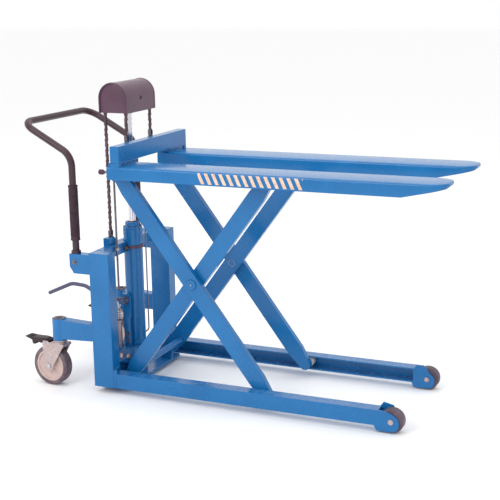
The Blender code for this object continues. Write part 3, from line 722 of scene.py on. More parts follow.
def fork(suffix, side, stripes):
    """Pressed channel with rounded upper edges and a blunt tip, its heel pad and its pivot lug."""
    lo, hi = extent("fork" + suffix)
    y_in, y_out = sorted((abs(lo.y), abs(hi.y)))
    pivot = pivot_of("carriage_level")
    blade = Piece("fork_pressing" + suffix)
    for row, hollow in ((HOLLOW_ROW, True), (SOLID_ROW, False)):
        blade.loft([fork_section(x, y_in, y_out, side, hollow) for x in row])
    pad_y = span(side, *PAD_Y)
    blade.box((PAD_X[0], pad_y[0], FORK_TOP - 2), (PAD_X[1], pad_y[1], BAR_FOOT), 1.2)
    end_y = span(side, y_out - 14, y_out - 0.1)
    blade.box((BAR_X[0], end_y[0], FORK_TOP - 12), (BAR_X[1], end_y[1], BAR_FOOT + 0.2), 0.6)
    for sweep, z in ((-180, FORK_TOP - 3), (180, lo.z)):
        half = [(lo.x, pivot.z)] + arc(pivot.x, pivot.z, 11.4, 180, 180 + sweep, 16)
        half += [(LUG_FRONT_X, pivot.z), (LUG_FRONT_X, z), (lo.x, z)]
        blade.plate(half, Y, *span(side, *LUG_Y))
    obj = blade.done(stripes, "carriage", ["fork" + suffix])


def base_welds(suffix, side):
    """Filler at the leg's root, and beads where the leg, arms and cross members meet a column."""
    leg_lo, leg_hi = extent("leg" + suffix)
    col_lo, col_hi = extent("column" + suffix)
    bracket_lo, bracket_hi = extent("handle_bracket" + suffix)
    bar_lo, bar_hi = extent("crossbar_top")
    front = col_hi.x
    rear = col_lo.x
    inner = min(abs(col_lo.y), abs(col_hi.y))
    filler = [(front - 2, 251), (front - 2, 240), (front + 12, 240), (front + 12, 246.2)]
    beads = Piece("base_welds" + suffix)
    beads.plate([(x, y * side) for x, y in filler], Z, leg_lo.z + 17.2, leg_hi.z - 0.4, 0.3)
    runs = [
        ((front, inner, leg_hi.z), (front, LEG_OUTER_Y, leg_hi.z), 2.6),
        ((rear, 206, 252), (rear, 246, 252), 2.4),
        ((rear, 209, bracket_hi.z), (rear, 245, bracket_hi.z), 2.2),
        ((bar_hi.x, inner, bar_lo.z + 2), (bar_hi.x, inner, bar_hi.z - 2), 2.4),
        ((rear + 4, inner, bar_hi.z - 0.8), (bar_hi.x - 2, inner, bar_hi.z - 0.8), 2.2),
        ((rear + 12, inner, 22.5), (front - 3, inner, 22.5), 2.6),
    ]
    runs += [((rear, y, 194), (rear, y, 250), 2.4) for y in (206, 246)]
    runs += [((rear, y, bracket_lo.z + 3), (rear, y, bracket_hi.z - 2), 2.2) for y in (209, 245)]
    beads.welds(runs, side)
    beads.done("blue_paint", "base")


def carriage_welds(suffix, side):
    """Beads along the back bar, behind the heel pad and at the pivot lug."""
    bar_lo, bar_hi = extent("backrest")
    inner, outer = PAD_Y
    bar_front = bar_hi.x - 1
    lug_y = LUG_Y[1] + 0.2
    runs = [
        ((PAD_X[0], inner, FORK_TOP), (PAD_X[0], outer, FORK_TOP), 2.2),
        ((PAD_X[0], inner, FORK_TOP), (PAD_X[1] - 1, inner, FORK_TOP), 2.0),
        ((BAR_X[0], inner, bar_lo.z), (BAR_X[0], outer, bar_lo.z), 2.0),
        ((bar_front, inner, bar_lo.z - 0.5), (bar_front, outer, bar_lo.z - 0.5), 2.0),
        ((HEEL_X + 1, lug_y, 832.5), (LUG_FRONT_X - 2, lug_y, 832.5), 2.0),
    ]
    runs += [((BAR_X[0], y, 868), (BAR_X[0], y, 898), 1.8) for y in (77, 99)]
    beads = Piece("carriage_welds" + suffix)
    beads.welds(runs, side)
    beads.done("blue_paint", "carriage")


def arm_details(suffix, side):
    """Capped centre pin with a circlip and a grease nipple, the rollers' spacers, and the heel screw."""
    out = beside(pivot_of("arm_cross"), side)
    pin = Piece("centre_pin_capped" + suffix)
    shank = [(0, 143), (11, 143), (12, 144), (12, 193.3)]
    cap = [(17.7, 193.3), (18.5, 194.1), (18.5, 196.0)] + arc(16.0, 196.0, 2.5, 0, 90, 5)
    pin.turned(shank + cap + [(7, 198.5), (5.5, 197.3), (0, 197.3)], out)
    pin.done("blue_paint", "arm_b", ["centre_pin" + suffix])
    trim = Piece("arm_pivot_trim" + suffix)
    trim.circlip(out @ at(0, 0, 144.6), 12.4)
    nipple = [(2.4, 197), (2.4, 199), (1.5, 199.6), (1.5, 200.8), (2.2, 201.4), (1.4, 202.4)]
    trim.turned(nipple + [(0, 202.6), (0, 197)], out, 16)
    trim.ring(10.3, 15.5, 143.6, 145.6, beside(pivot_of("roller_b_spin" + suffix), side), 28)
    trim.done("steel", "arm_b")
    low_roller = beside(pivot_of("roller_a_spin" + suffix), side)
    spacer = Piece("roller_spacer" + suffix)
    profile = [(9.2, 193.3), (15, 193.3), (16, 194.3), (16, 200), (13, 201), (13, 207.4), (9.2, 207.4)]
    spacer.turned(profile, low_roller, 32)
    spacer.done("nylon_white", "arm_a")
    outer_trim = Piece("outer_arm_trim" + suffix)
    outer_trim.circlip(low_roller @ at(0, 0, 239.3), 9.4)
    screw = [(0, 198.9), (10.4, 198.9), (10.4, 199.4), (9.9, 199.8), (3.6, 199.8), (3.2, 199.2), (0, 199.2)]
    outer_trim.turned(screw, beside(pivot_of("carriage_level"), side), 32)
    outer_trim.done("black_oxide", "arm_a")


def leg_details(suffix, side):
    """Headed pin of the load roller, with its retaining ring on the inside."""
    axle = pivot_of("load_roller_spin" + suffix)
    trim = Piece("load_axle_trim" + suffix)
    head = [(0, 246.2), (9.5, 246.2), (9.5, 248.6), (8.5, 249.6), (3, 249.6), (2.4, 248.9), (0, 248.9)]
    trim.turned(head, beside(axle, side), 32)
    inside = towards((axle.x, 199.8 * side, axle.z), Y, -side)
    trim.ring(0, 8, 1.2, 6.6, inside, 32, (1.0, 1.0))
    trim.circlip(inside @ at(0, 0, 3.2), 8.2)
    trim.done("zinc", "base")


def wheel_frame(node, joint):
    """Where a wheel's middle is, with local +Z along its axle, and its radius and half width."""
    axle = pivot_of(joint)
    lo, hi = extent(node)
    place = towards((axle.x, 0.5 * (lo.y + hi.y), axle.z), Y)
    return place, 0.5 * (hi.z - lo.z), 0.5 * (hi.y - lo.y)


def load_roller(suffix):
    """Dark tread on a bearing hub."""
    node = "load_roller" + suffix
    place, radius, half = wheel_frame(node, "load_roller_spin" + suffix)
    tread = Piece("load_roller_tread" + suffix)
    shoulder = [(20, -half), (radius - 4, -half)] + arc(radius - 4, -half + 4, 4, -90, 0, 6)
    tread.turned(mirrored(shoulder), place, 64)
    tread.done("nylon_dark", BODY[node], [node])
    hub = Piece("load_roller_bearing" + suffix)
    face = [(8.4, 1.5), (12, 1.5), (12, 2.6), (17, 2.6), (17, 1.2), (19.9, 1.2)]
    hub.turned(mirrored([(r, depth - half) for r, depth in face]), place, 48)
    hub.done("steel", BODY[node])


def scissor_roller(name, suffix):
    """Roller with rounded rims and a bearing shield let into each face."""
    node = name + suffix
    place, radius, half = wheel_frame(node, name + "_spin" + suffix)
    bore = 9.3 if name == "roller_a" else 10.3
    shield = bore + 0.62 * (radius - bore)
    face = [(bore, -half), (bore + 2, -half), (bore + 2, -half + 1.5), (shield, -half + 1.5), (shield, -half)]
    face += [(radius - 2, -half)] + arc(radius - 2, -half + 2, 2, -90, 0, 4)
    roller = Piece(name + "_turned" + suffix)
    roller.turned(mirrored(face), place, 64)
    roller.done("nylon_white" if name == "roller_a" else "steel", BODY[node], [node])


# ---- Handle ----
HANDLE_R = 12.5
HANDLE_BEND_Z = 866.0
GRIP_PITCH = 5.0


def push_handle():
    """One bent tube, with a ribbed grip, a collar and a bracket screw on each side."""
    lo, hi = extent("push_handle")
    front = hi.x - HANDLE_R
    back = lo.x + HANDLE_R
    half = hi.y - HANDLE_R
    up = [(front, half, lo.z), (front, half, HANDLE_BEND_Z), (back, half, hi.z - HANDLE_R)]
    down = [(x, -y, z) for x, y, z in reversed(up)]
    tube = Piece("handle_tube")
    tube.tube(bent(up + down, [70, 55, 55, 70], 14), HANDLE_R, 28)
    tube.done("handle_paint", "base", ["push_handle"])
    for suffix, side in SIDES:
        grip(suffix, front, half * side)
        top = extent("handle_bracket" + suffix)[1].z
        collar = Piece("handle_collar" + suffix)
        collar.ring(12.6, 17.5, 0.2, 11, at(front, half * side, top), 36, (1.5, 2.0))
        collar.socket_screw(towards((front - 17.2, half * side, top + 5.5), X, -1), 3.2, 2.6)
        collar.done("handle_paint", "base")
        screw = Piece("bracket_screw" + suffix)
        screw.bolt(towards((front + 2, 245.1 * side, top - 30), Y, side), 10, 5)
        screw.done("black_oxide", "base")


def grip(suffix, x, y):
    """Rubber sleeve with a rolled lip at each end and ribs between them."""
    lo, hi = extent("grip" + suffix)
    length = hi.z - lo.z
    lip = [(12.7, 0), (16.2, 0), (17.5, 1.5), (17.5, 6), (16.4, 7.5)]
    profile = list(lip)
    for i in range(int((length - 30) / GRIP_PITCH)):
        z = 15 + GRIP_PITCH * i
        profile += [(16.3, z), (17.2, z + 1.0), (17.2, z + 3.0), (16.3, z + 4.0)]
    profile += [(r, length - z) for r, z in reversed(lip)]
    sleeve = Piece("grip_sleeve" + suffix)
    sleeve.turned(profile, at(x, y, lo.z), 40)
    sleeve.done("grip_rubber", "base", ["grip" + suffix])


# ---- Cylinder and mast head ----
MAST_X = -452.0
AXLE_Z = pivot_of("chain_wheel_turn").z
AXLE_R = 8.0
CROSSHEAD_Y = 74.0


def cylinder():
    """Barrel with a welded foot and head ring, gland with its screws and wiper, and the chromed rod."""
    lo, hi = extent("cylinder_barrel")
    h = hi.z - lo.z
    barrel = Piece("barrel_tube")
    foot = [(0, 0), (34.8, 0), (36, 1.2), (36, 12), (35, 13.5)]
    head = [(35, h - 24), (36, h - 22.5), (36, h - 1), (35, h), (31, h)]
    barrel.turned(foot + head + [(31, 8.7), (0, 8.7)], at(MAST_X, 0, lo.z), 72)
    for z in (lo.z + 13.6, hi.z - 24):
        barrel.ring_weld(at(MAST_X, 0, z), 34.4, 1.4)
    barrel.done("blue_paint", "base", ["cylinder_barrel"])
    lo, hi = extent("gland_nut")
    h = hi.z - lo.z
    gland = Piece("gland_head")
    flange = [(13.4, 0), (34.6, 0), (35.5, 0.9), (35.5, 6), (34.7, 6.8), (27.5, 7.6), (27, 8.2)]
    neck = [(27, h - 4), (25, h - 1.2), (19, h - 0.8), (18, h - 2.5), (13.4, h - 2.5)]
    gland.turned(flange + neck, at(MAST_X, 0, lo.z), 72)
    gland.done("blue_paint", "base", ["gland_nut"])
    screws = Piece("gland_screws")
    for angle in round_circle(6, 30):
        screws.socket_screw(at(MAST_X, 0, lo.z) @ at(*polar(31.2, angle, 6.6)), 3.2, 3.4)
    screws.done("black_oxide", "base")
    wiper = Piece("rod_wiper")
    lip = [(13.2, -2.4), (17.6, -2.4), (17.6, -0.4), (15.5, 0.4), (13.2, 1.6)]
    wiper.turned(lip, at(MAST_X, 0, hi.z), 48)
    wiper.done("grip_rubber", "base")
    lo, hi = extent("piston_rod")
    h = hi.z - lo.z
    rod = Piece("rod_chromed")
    piston = [(0, 0), (29.5, 0), (30.5, 1), (30.5, 27), (29.5, 28), (13, 28)]
    rod.turned(piston + [(13, h - 14), (11.8, h - 12.8), (11.8, h), (0, h)], at(MAST_X, 0, lo.z), 64)
    rod.done("chrome", "piston", ["piston_rod"])


def clamp_band():
    """Strap round the cylinder, with an ear and a bolt on each side."""
    lo, hi = extent("clamp_band")
    front = lo.x
    ear = [(front + 0.2, 36.2), (front + 0.2, hi.y), (front + 4.7, hi.y)]
    outline = arc(MAST_X, 0, 36.5, -102, 102, 40) + ear + arc(MAST_X, 0, 40.3, 94, -94, 40)
    outline += [(x, -y) for x, y in reversed(ear)]
    band = Piece("cylinder_strap")
    band.plate(outline, Z, lo.z + 3, hi.z - 3, 0.7)
    band.done("dark_paint", "base", ["clamp_band"])
    bolts = Piece("strap_bolts")
    for side in (-1, 1):
        bolts.bolt(towards((front + 4.8, 50 * side, 0.5 * (lo.z + hi.z)), X), 10, 5)
    bolts.done("black_oxide", "base")


def bleed_pipe():
    """Thin leak-oil pipe from the gland down to the valve block."""
    top = extent("gland_nut")[1].z - 11
    foot = extent("valve_block")[1].z
    x = MAST_X + 40
    path = [(MAST_X + 24, 12, top), (x + 2, 22, top - 1), (x, 25, 520), (x, 25, 170)]
    path += [(MAST_X + 14, 40, 150), (MAST_X + 14, 40, foot + 6)]
    pipe = Piece("leak_oil_pipe")
    pipe.tube(bent(path, [12, 30, 20, 14], 8), 2.6, 14)
    pipe.done("black_oxide", "base")
    unions = Piece("leak_oil_unions")
    unions.hexagon(10, 0, 8, towards((MAST_X + 24.5, 12, top), X))
    unions.hexagon(10, 0, 9, at(MAST_X + 14, 40, foot + 0.2))
    unions.done("zinc", "base")


def crosshead():
    """Block on the piston rod, with the chain wheels' axle, its rings and washers, and the top bolt."""
    lo, hi = extent("crosshead")
    block = Piece("crosshead_block")
    block.box((MAST_X - 18, -CROSSHEAD_Y, lo.z), (MAST_X + 18, CROSSHEAD_Y, hi.z), 2.0)
    for ends in ((lo.y, -70), (70, hi.y)):
        block.ring(0, AXLE_R, *ends, towards((MAST_X, 0, AXLE_Z), Y), 32)
    block.done("dark_paint", "piston", ["crosshead"])
    rings = Piece("axle_rings")
    for side in (-1, 1):
        rings.circlip(towards((MAST_X, 100.4 * side, AXLE_Z), Y, side), AXLE_R + 0.3)
        washer = towards((MAST_X, (CROSSHEAD_Y + 0.3) * side, AXLE_Z), Y, side)
        rings.ring(AXLE_R + 0.2, 13, 0, 1.6, washer, 32)
    rings.bolt(at(MAST_X, 0, hi.z), 17, 8)
    rings.done("black_oxide", "piston")


def chain_wheel(suffix):
    """Turned wheel with a web, a bore and a groove that the chain lies in."""
    node = "chain_wheel" + suffix
    place, rim, half = wheel_frame(node, "chain_wheel_turn")
    groove = rim - 8.4
    face = [(8.3, 1), (15, 1), (16, 3), (30, 3), (32, 0), (rim - 1.5, 0), (rim, 1.0), (rim, 2.6)]
    face += [(groove + 0.8, 3.8), (groove, 4.6)]
    wheel = Piece("chain_wheel_turned" + suffix)
    wheel.turned(mirrored([(r, depth - half) for r, depth in face]), place, 64)
    wheel.done("steel", "chain_wheels", [node])


def chain_cover():
    """Arched sheet with a rolled rim at each end, recessed end plates and a fixing screw at the front."""
    lo, hi = extent("chain_cover")
    radius = 0.5 * (hi.x - lo.x)
    arch_z = hi.z - radius
    end = hi.y

    def arch(inset, foot):
        r = radius - inset
        return [(MAST_X + r, foot)] + arc(MAST_X, arch_z, r, 0, 180, 44) + [(MAST_X - r, foot)]

    def band(outer, inner, y_lo, y_hi, soft):
        shell.plate(arch(outer, lo.z) + list(reversed(arch(inner, lo.z))), Y, y_lo, y_hi, soft)

    shell = Piece("cover_shell")
    band(1.2, 3.2, -end + 2, end - 2, 0)
    for side in (-1, 1):
        band(0, 5.0, *span(side, end - 7, end), 1.0)
        shell.plate(arch(3.0, lo.z + 1.0), Y, *span(side, end - 6, end - 4), 0.4)
    for x in (MAST_X - radius + 2.0, MAST_X + radius - 2.0):
        shell.tube([(x, -end + 7, lo.z + 1.8), (x, end - 7, lo.z + 1.8)], 1.8, 10)
    shell.done("dark_paint", "piston", ["chain_cover"])
    screw = Piece("cover_screw")
    place = towards((MAST_X + radius - 1.2, 0, AXLE_Z - 5), X)
    screw.turned([(0, -1), (8, -1), (8, 0.0), (7, 1.0), (3, 1.15), (2.8, 0.2), (0, 0.2)], place, 28)
    screw.done("pedal_black", "piston")


# ---- Chains ----
PITCH = 19.05
LAYERS = (-4.75, -2.85, -0.95, 0.95, 2.85, 4.75)
PLATE_HALF = 0.8
PLATE_R = 4.9
WAIST = 3.3
PIN_R = 2.5
PIN_HALF = 5.9
PIN_PROFILE = [(0, -PIN_HALF), (PIN_R - 0.5, -PIN_HALF), (PIN_R, -PIN_HALF + 0.5)]


def link_outline(start, end):
    """Figure of eight round two pins, as (x, z) points."""
    along = Vector((end[0] - start[0], end[1] - start[1]))
    heading = math.degrees(math.atan2(along.y, along.x))
    first = arc(start[0], start[1], PLATE_R, heading + 50, heading + 310, 9)
    last = arc(end[0], end[1], PLATE_R, heading - 130, heading + 130, 9)
    unit = along.normalized()
    across = Vector((-unit.y, unit.x)) * WAIST
    middle = Vector(start) + 0.5 * along
    return first + [tuple(middle - across)] + last + [tuple(middle + across)]


def chain(piece, pins, middle_y, first=0):
    """Leaf chain through a row of (x, z) pins."""
    for i, (start, end) in enumerate(zip(pins, pins[1:])):
        outline = link_outline(start, end)
        for layer in LAYERS[(i + first) % 2::2]:
            piece.plate(outline, Y, middle_y + layer - PLATE_HALF, middle_y + layer + PLATE_HALF)
    for x, z in pins:
        piece.turned(mirrored(PIN_PROFILE), towards((x, middle_y, z), Y), 12)


def straight_pins(x, low, high):
    """Pins up a strand, with its top pin level with the wheel's axle."""
    count = int((high - low) / PITCH)
    return [(x, high - i * PITCH) for i in range(count + 1)]


def chain_end(name, x, y, foot, body):
    """Clevis that holds a strand's last pin, on a nut and a washer."""
    end = Piece(name)
    end.ring(0, 9.5, 0.2, 1.6, at(x, y, foot), 24)
    end.hexagon(14, 1.6, 8.5, at(x, y, foot))
    outline = [(x - 6, foot + 6)] + arc(x, foot + 20, 6, 180, 0, 10) + [(x + 6, foot + 6)]
    for edge in (-1, 1):
        end.plate(outline, Y, *sorted((y + edge * 6.4, y + edge * 8.6)), 0.4)
    end.box((x - 6, y - 8.4, foot + 5), (x + 6, y + 8.4, foot + 9), 0.8)
    end.ring(0, 3.4, -10, 10, towards((x, y, foot + 20), Y), 16)
    end.done("black_oxide", body)


def chains(suffix):
    """Rear strand, the stretch over the wheel and front strand, with a clevis at each end."""
    rear_lo, rear_hi = extent("strand_rear" + suffix)
    front_lo, front_hi = extent("strand_front" + suffix)
    y = 0.5 * (rear_lo.y + rear_hi.y)
    rear_x = 0.5 * (rear_lo.x + rear_hi.x)
    front_x = 0.5 * (front_lo.x + front_hi.x)
    radius = 0.5 * (front_x - rear_x)
    rear = Piece("chain_rear" + suffix)
    chain(rear, straight_pins(rear_x, rear_lo.z, AXLE_Z), y)
    rear_obj = rear.done("chain_steel", "base", ["strand_rear" + suffix])
    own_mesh(rear_obj)
    over = Piece("chain_over_wheel" + suffix)
    chain(over, arc(MAST_X, AXLE_Z, radius, 0, 180, 7), y, 1)
    over.done("chain_steel", "piston")
    front = Piece("chain_front" + suffix)
    chain(front, straight_pins(front_x, front_lo.z, AXLE_Z), y)
    front_obj = front.done("chain_steel", None, ["strand_front" + suffix])
    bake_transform(front_obj)
    chain_end("chain_end_rear" + suffix, rear_x, y, rear_lo.z, "base")
    chain_end("chain_end_front" + suffix, front_x, y, front_lo.z, "carriage")


# ---- Pump, pedal and release rod ----
def pump():
    """Pump barrel with a collar at each end, the chromed plunger and the return spring."""
    lo, hi = extent("pump_barrel")
    x = 0.5 * (lo.x + hi.x)
    y = 0.5 * (lo.y + hi.y)
    h = hi.z - lo.z
    barrel = Piece("pump_tube")
    place = at(x, y, lo.z)
    outside = [(0, 0), (15, 0), (15, 12), (13.6, 13), (13.6, h - 16), (15, h - 15), (15, h - 8)]
    mouth = [(17, h - 7), (17, h - 1), (16, h), (7.5, h)]
    barrel.turned(outside + mouth + [(7.5, 12), (0, 12)], place, 48)
    for z in (30, 42, 54):
        barrel.turned([(13.5, z), (14.3, z + 0.5), (14.3, z + 3.5), (13.5, z + 4)], place, 48)
    barrel.done("copper_tone", "base", ["pump_barrel"])
    lo, hi = extent("pump_plunger")
    h = hi.z - lo.z
    plunger = Piece("plunger_turned")
    collar = [(7, 112), (12, 112), (13, 113), (13, 117), (12, 118), (7, 118)]
    dome = arc(4, h - 3, 3, 0, 90, 5)
    plunger.turned([(0, 0), (7, 0)] + collar + [(7, h - 3)] + dome + [(0, h)], at(x, y, lo.z), 40)
    plunger.done("chrome", "pump_plunger", ["pump_plunger"])
    lo, hi = extent("pump_spring")
    spring = Piece("return_spring")
    spring.coil(at(x, y, 0), 11.2, 1.75, lo.z + 1.75, hi.z - 1.75, 5, 28, 0.06)
    spring_obj = spring.done("steel", "base", ["pump_spring"])
    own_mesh(spring_obj)


PLUG_Z = 90.0


def valve_fittings():
    """Plugs, the relief valve's cap and the filler cap of the valve block, and the bracket's bolts."""
    lo, hi = extent("valve_block")
    trim = Piece("valve_plugs")
    for x in (-500, -470, -440):
        place = towards((x, lo.y - 0.1, PLUG_Z), Y, -1)
        trim.hexagon(17, 0, 5, place)
        trim.ring(0, 10.5, 0, 1.4, place, 24)
    relief = towards((lo.x, 20, PLUG_Z), X, -1)
    trim.hexagon(19, 0, 7, relief)
    trim.ring(0, 12, 0, 1.6, relief, 28)
    trim.hexagon(14, 0, 6, towards((lo.x, -30, 78), X, -1))
    for y in (-20, 10):
        trim.socket_screw(towards((hi.x, y, 104), X, 1), 4.5, 4)
    trim.done("zinc", "base")
    cap = Piece("filler_cap")
    profile = [(0, 0), (11, 0), (13, 1.5), (13, 9), (11.5, 11), (6, 11.6), (5, 10.8), (0, 10.8)]
    cap.turned(profile, at(-500, 26, hi.z + 0.1), 36)
    cap.done("pedal_black", "base")
    pin = pivot_of("pedal_press")
    bolts = Piece("bracket_bolts")
    for z in (140, 168):
        bolts.bolt(towards((-461, -52, z), Y, -1), 8, 4.5)
    bolts.ring(7.1, 12, 72.4, 73.8, beside(pin, -1), 28)
    bolts.circlip(towards((pin.x, -74.8, pin.z), Y, -1), 7.1)
    bolts.done("black_oxide", "base")
    seat = Piece("spring_gaiter")
    profile = [(7.7, 222.2), (15.5, 222.2), (15.5, 223.6), (12.9, 224.4), (7.7, 224.4)]
    seat.turned(profile, at(-494, -62, 0), 32)
    seat.done("nylon_dark", "base")


RELEASE_X = -496.0
RELEASE_Y = -104.0


def valve_spring():
    """Release valve beside the pump: a dark body on a bracket, with the spring that shuts it."""
    lo, hi = extent("valve_block")
    place = at(RELEASE_X, RELEASE_Y, 0)
    body = Piece("release_valve")
    near = (RELEASE_X - 10, RELEASE_Y - 10, hi.z - 12)
    body.box(near, (RELEASE_X + 10, lo.y - 0.2, hi.z - 4), 0.8)
    sleeve = [(0, 113), (9, 113), (9, 132), (7.6, 133), (7.6, 150), (9, 151), (9, 186), (8, 187.5), (3, 188)]
    body.turned(sleeve + [(3, 268), (6, 268), (6, 272), (0, 272)], place, 36)
    body.hexagon(13, 272, 278, place)
    body.done("dark_paint", "base")
    spring = Piece("release_spring")
    spring.coil(place, 6.6, 1.5, 190, 266, 8, 20)
    spring.done("chain_steel", "base")


PEDAL_PATH = ((-476, 302), (-560, 306), (-632, 342), (-690, 346), (-797, 297.5))


def foot_pedal():
    """Turned hub and a bent round bar, domed at the end that the foot presses."""
    pin = pivot_of("pedal_press")
    y = pin.y
    pedal = Piece("pedal_bar")
    path = bent([(x, y, z) for x, z in PEDAL_PATH], [50, 45, 60], 12)
    radii = [7.5] * len(path) + [6.6, 3.5]
    end = path[-1]
    along = (end - path[-2]).normalized()
    path = path[:-1] + [end - along * 4, end - along * 1.5, end]
    pedal.tube(path, radii, 20)
    pedal.done("pedal_paint", "foot_pedal", ["foot_pedal"])
    hub = Piece("pedal_hub")
    hub.turned([(7.4, 53), (14, 53), (15, 54), (15, 71), (14, 72), (7.4, 72)], beside(pin, -1), 40)
    hub.weld((pin.x - 13.5, y - 7, pin.z + 1), (pin.x - 13.5, y + 7, pin.z + 1), 2.2)
    hub.done("pedal_paint", "foot_pedal")


def release_rod():
    """Bent rod with a knob, and the guide that it slides in."""
    lo, hi = extent("release_rod")
    y = lo.y + 10
    knob_z = hi.z - 10
    foot = lo.z + 4
    rod = Piece("release_wire")
    path = [(-504, y, knob_z), (MAST_X, y, knob_z), (MAST_X, y, foot), (MAST_X, -66, foot)]
    rod.tube(bent(path, [12, 12], 10), 3.9, 16)
    rod.done("black_oxide", "release_rod", ["release_rod"])
    knob = Piece("release_knob")
    profile = [(0, 0)] + arc(6.5, 3.5, 3.5, -90, 0, 5) + [(10, 14)] + arc(6, 14, 4, 0, 60, 5)
    knob.turned(profile + [(6.5, 22), (4.6, 22), (0, 22)], towards((lo.x, y, knob_z), X), 36)
    knob.done("dark_paint", "release_rod")
    bar_hi = extent("crossbar_top")[1]
    guide = Piece("rod_guide")
    guide.ring(4.4, 8, -4, 4, at(MAST_X, y, bar_hi.z - 12), 28)
    guide.box((bar_hi.x, y + 5.5, bar_hi.z - 15), (bar_hi.x + 8, y + 10, bar_hi.z - 9), 0.6)
    guide.done("zinc", "base")


# ---- Casters ----
WHEEL_R = 75.0
TRAIL = 40.0
BRAKE_PIN_X = 55.0
BRAKE_PIN_Z = 163.0
BRAKE_OUTLINE = (
    (-694, 158), (-694, 169), (-701, 173), (-716, 176.4), (-762, 175), (-795, 177), (-797, 174.4),
    (-765, 165), (-762, 150), (-749, 150), (-745, 161), (-718, 157), (-702, 155.5),
)


def caster(suffix):
    """A caster is built straight, and then turned about its stem to the angle that it stands at."""
    stem = pivot_of("caster_swivel" + suffix)
    axis = Vector(JOINTS["caster_roll" + suffix]["axis"])
    swivel = math.atan2(-axis.x, axis.y)
    turn = Matrix.Translation(stem) @ Matrix.Rotation(swivel, 4, "Z") @ Matrix.Translation(-stem)
    for build in (caster_yoke, caster_axles, caster_wheel, caster_brake, stem_cap):
        build(suffix, stem, turn)


def caster_yoke(suffix, stem, turn):
    """Pressed yoke: two cheeks with ribs, crown and stem, and the ball race between them."""
    x, y = stem.x, stem.y
    axle_x = x - TRAIL
    yoke = Piece("yoke_pressing" + suffix)
    cheek = [(x + 28, 158), (x + 24, 165), (x - 32, 165), (x - 45, 171), (x - 62, 171), (x - 66, 158)]
    cheek += [(axle_x - 19, WHEEL_R)] + arc(axle_x, WHEEL_R, 19, 200, 340, 14) + [(axle_x + 19, WHEEL_R)]
    rib = [(x + 14, 152), (x - 48, 152), (axle_x - 9, 96), (axle_x + 9, 96)]
    for edge in (-1, 1):
        yoke.plate(rounded(cheek, 6), Y, *sorted((y + edge * 23, y + edge * 26.2)), 0.8)
        yoke.plate(rounded(rib, 8), Y, *sorted((y + edge * 25.8, y + edge * 27.0)), 0.5)
        yoke.ring(0, 13, 26, 27.3, towards((axle_x, y, WHEEL_R), Y, edge), 32, (1.0, 0.4))
    crown = [(x + 30, 154.5), (x + 30, 164), (x + 27, 166), (x - 32, 166), (x - 36, 163), (x - 38, 155)]
    yoke.plate(rounded(crown, 2), Y, y - 25.6, y + 25.6, 0.8)
    centre = at(x, y, 0)
    yoke.turned([(0, 165.5), (26, 165.5), (26, 169), (24.8, 170.4), (23.0, 171), (0, 171)], centre, 56)
    yoke.turned([(0, 172.6), (23.5, 172.6), (25.4, 173.4), (25.4, 176), (24, 177.2), (0, 177.2)], centre, 56)
    yoke.ring(0, 9.7, 177, 246, centre, 32, (1.2, 2.0))
    yoke.done("zinc", "caster" + suffix, ["caster_yoke" + suffix], turn)
    race = Piece("ball_race" + suffix)
    race.ring(18, 22.4, 170.8, 172.8, centre, 48)
    ball = [(0, -1.6)] + arc(0, 0, 1.6, -60, 60, 4) + [(0, 1.6)]
    for angle in round_circle(18):
        race.turned(ball, centre @ at(*polar(22.6, angle, 171.8)), 10)
    race.done("steel", "caster" + suffix, (), turn)


def caster_axles(suffix, stem, turn):
    """The wheel's axle with its nuts, and the brake pedal's riveted pin."""
    trim = Piece("caster_axle" + suffix)
    axle = (stem.x - TRAIL, stem.y, WHEEL_R)
    pin = (stem.x - BRAKE_PIN_X, stem.y, BRAKE_PIN_Z)
    for edge in (-1, 1):
        trim.hexagon(17, 27.2, 31.0, towards(axle, Y, edge))
        trim.turned([(0, 26.1), (6.2, 26.1), (6.2, 27.4), (5.4, 28.6), (0, 28.9)], towards(pin, Y, edge), 24)
    trim.ring(0, 5.8, -24, 24, towards(axle, Y), 24)
    trim.ring(0, 4, -24, 24, towards(pin, Y), 20)
    trim.done("steel", "caster" + suffix, (), turn)


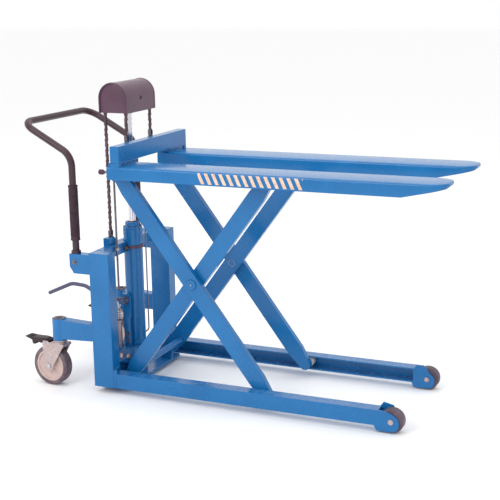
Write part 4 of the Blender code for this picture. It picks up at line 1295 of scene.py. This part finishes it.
def caster_wheel(suffix, stem, turn):
    """Rounded tyre, and a dished hub with a raised ring and eight spokes on each side."""
    axle = (stem.x - TRAIL, stem.y, WHEEL_R)
    tyre = Piece("tyre_tread" + suffix)
    shoulder = [(60.2, -19), (66, -20.2), (70.0, -20.4)] + arc(68.5, -13.9, 6.5, -78, -12, 8)
    shoulder += [(75, -9.6), (75, -7.2), (74.1, -6.6), (74.1, -5.6), (75, -5)]
    tyre.turned(mirrored(shoulder), towards(axle, Y), 96)
    tyre.done("tyre_rubber", "caster_wheel" + suffix, ["caster_tyre" + suffix], turn)
    hub = Piece("wheel_hub" + suffix)
    face = [(6.4, -22), (13.5, -22), (15, -21), (16.5, -13.5), (19, -12.4), (24, -12), (46, -12.6)]
    face += [(50.5, -13.8), (53, -18), (54.2, -19), (59.2, -19), (60, -18.2)]
    hub.turned(mirrored(face), towards(axle, Y), 72)
    for edge in (-1, 1):
        out = towards(axle, Y, edge)
        hub.turned([(30, 12.2), (30.8, 13.2), (33.2, 13.2), (34, 12.2)], out, 64)
        for angle in round_circle(8):
            hub.box((17, -1.3, 11.5), (49, 1.3, 13.2), 0.5, out @ Matrix.Rotation(angle, 4, "Z"))
    hub.done("hub_plastic", "caster_wheel" + suffix, ["caster_hub" + suffix], turn)


def caster_brake(suffix, stem, turn):
    """Pedal with ribs across its tread and a raised toe plate."""
    y = stem.y
    brake = Piece("brake_pedal" + suffix)
    brake.plate(rounded(BRAKE_OUTLINE, 3), Y, y - 19.5, y + 19.5, 1.2)
    for i in range(6):
        x = -770 - 4.5 * i
        brake.box((x, y - 15, 174.5), (x + 2, y + 15, 176.9), 0.5)
    brake.box((-714, y - 16, 172), (-700, y + 16, 176.2), 1.4)
    brake.done("pedal_black", "caster_brake" + suffix, ["caster_brake" + suffix], turn)


def stem_cap(suffix, stem, turn):
    """Washer and nut on the stem's end. They stay on the caster arm, so they aren't turned."""
    cap = Piece("stem_cap" + suffix)
    place = at(stem.x, stem.y, extent("caster_arm" + suffix)[1].z)
    cap.ring(0, 24, 0.1, 2.2, place, 48, (1.5, 1.0))
    cap.hexagon(17, 2.0, 6.0, place)
    cap.done("black_oxide", "base")


# ---- Everything together ----
keep_structure()
stripes = striped_enamel()
for suffix, side in SIDES:
    fork(suffix, side, stripes)
    for build in (base_welds, carriage_welds, arm_details, leg_details):
        build(suffix, side)
    load_roller(suffix)
    scissor_roller("roller_a", suffix)
    scissor_roller("roller_b", suffix)
    for build in (chain_wheel, chains, caster):
        build(suffix)
for build in (push_handle, cylinder, clamp_band, bleed_pipe, crosshead, chain_cover):
    build()
for build in (pump, valve_fittings, valve_spring, foot_pedal, release_rod):
    build()
